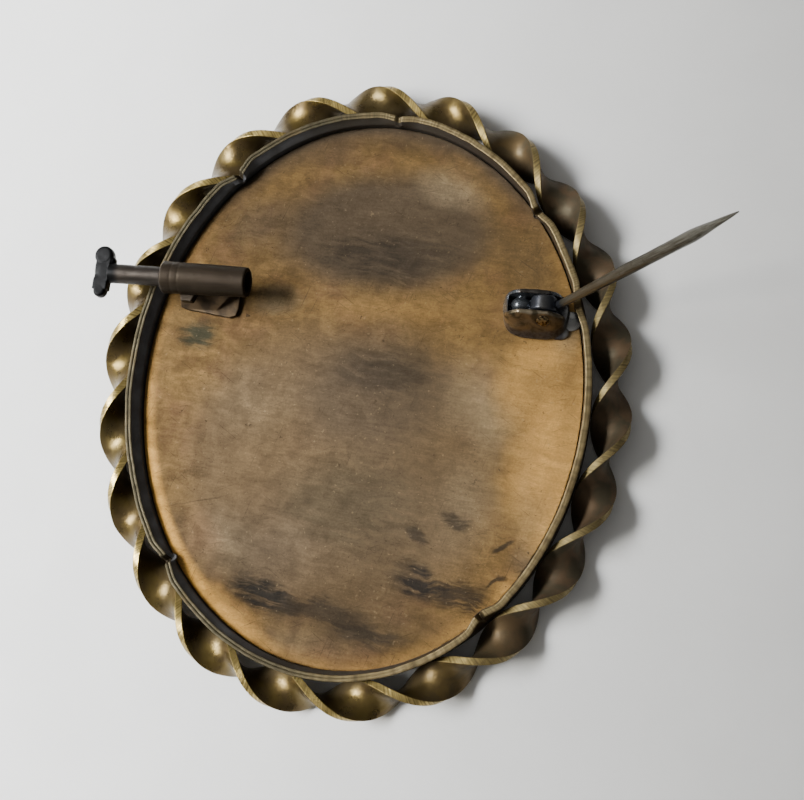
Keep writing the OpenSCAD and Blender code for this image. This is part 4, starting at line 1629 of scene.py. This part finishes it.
def light_room(scene):
    """The dim light of the room, brighter on the window's side."""
    world = bpy.data.worlds.new("room")
    scene.world = world
    world.use_nodes = True
    nodes, links = world.node_tree.nodes, world.node_tree.links
    place = nodes.new("ShaderNodeTexCoord")
    parts = nodes.new("ShaderNodeSeparateXYZ")
    fade = nodes.new("ShaderNodeMapRange")
    links.new(place.outputs["Generated"], parts.inputs[0])
    fade.interpolation_type = "SMOOTHSTEP"
    links.new(parts.outputs[0], fade.inputs["Value"])
    for name, value in (("From Min", 0.6), ("From Max", -0.95), ("To Min", 0.132), ("To Max", 0.45)):
        fade.inputs[name].default_value = value
    background = nodes["Background"]
    background.inputs["Color"].default_value = (1.0, 0.985, 0.95, 1)
    links.new(fade.outputs["Result"], background.inputs["Strength"])


class BROOCH_OT_stage(bpy.types.Operator):
    """Lay out the pale surface, the soft light and the camera"""

    bl_idname = "brooch.stage"
    bl_label = "Surface, light and camera"

    def execute(self, context):
        deselect()
        bpy.ops.mesh.primitive_plane_add(size=1.6)
        floor = newest("surface")
        floor.data.materials.append(finish_paper())
        lamp = add_light(
            "window", at=(-0.142, 0.004, 0.103), towards=(-0.06, 0, 0),
            size=(0.17, 0.10), power=0.225, tint=(0.98, 0.99, 1.0),
        )
        lamp.data.spread = radians(44)
        add_light(
            "glint", at=(-0.30, -0.09, 0.25), towards=(0, 0, 0),
            size=(0.06, 0.07), power=0.7, tint=(1.0, 0.97, 0.88),
        )
        light_room(context.scene)
        add_camera()
        return {"FINISHED"}


OPERATORS = [
    BROOCH_OT_border,
    BROOCH_OT_bezel,
    BROOCH_OT_plate,
    BROOCH_OT_clasp,
    BROOCH_OT_hinge,
    BROOCH_OT_pin,
    BROOCH_OT_front,
    BROOCH_OT_stage,
]


class BROOCH_PT_panel(bpy.types.Panel):
    """The brooch's pieces and sizes"""

    bl_label = "Brooch"
    bl_idname = "BROOCH_PT_panel"
    bl_space_type = "VIEW_3D"
    bl_region_type = "UI"
    bl_category = "Brooch"

    def draw(self, context):
        for operator in OPERATORS:
            self.layout.operator(operator.bl_idname)
        for group in ("border", "bezel", "plate", "clasp", "pin", "front", "colours"):
            column = self.layout.column(heading=group.capitalize())
            values = getattr(context.scene.brooch, group)
            for name in values.bl_rna.properties.keys():
                if name not in ("rna_type", "name"):
                    column.prop(values, name)


GROUPS = [
    BorderSizes,
    BezelSizes,
    PlateSizes,
    ClaspSizes,
    PinSizes,
    FrontSizes,
    FinishColours,
    BroochSettings,
]


def register():
    for one in GROUPS + OPERATORS + [BROOCH_PT_panel]:
        bpy.utils.register_class(one)
    bpy.types.Scene.brooch = bpy.props.PointerProperty(type=BroochSettings)


def unregister():
    del bpy.types.Scene.brooch
    for one in reversed(GROUPS + OPERATORS + [BROOCH_PT_panel]):
        bpy.utils.unregister_class(one)


def main():
    register()
    bpy.ops.brooch.border()
    bpy.ops.brooch.bezel()
    bpy.ops.brooch.plate()
    bpy.ops.brooch.clasp()
    bpy.ops.brooch.hinge()
    bpy.ops.brooch.pin()
    bpy.ops.brooch.front()
    bpy.ops.brooch.stage()


if __name__ == "__main__":
    main()
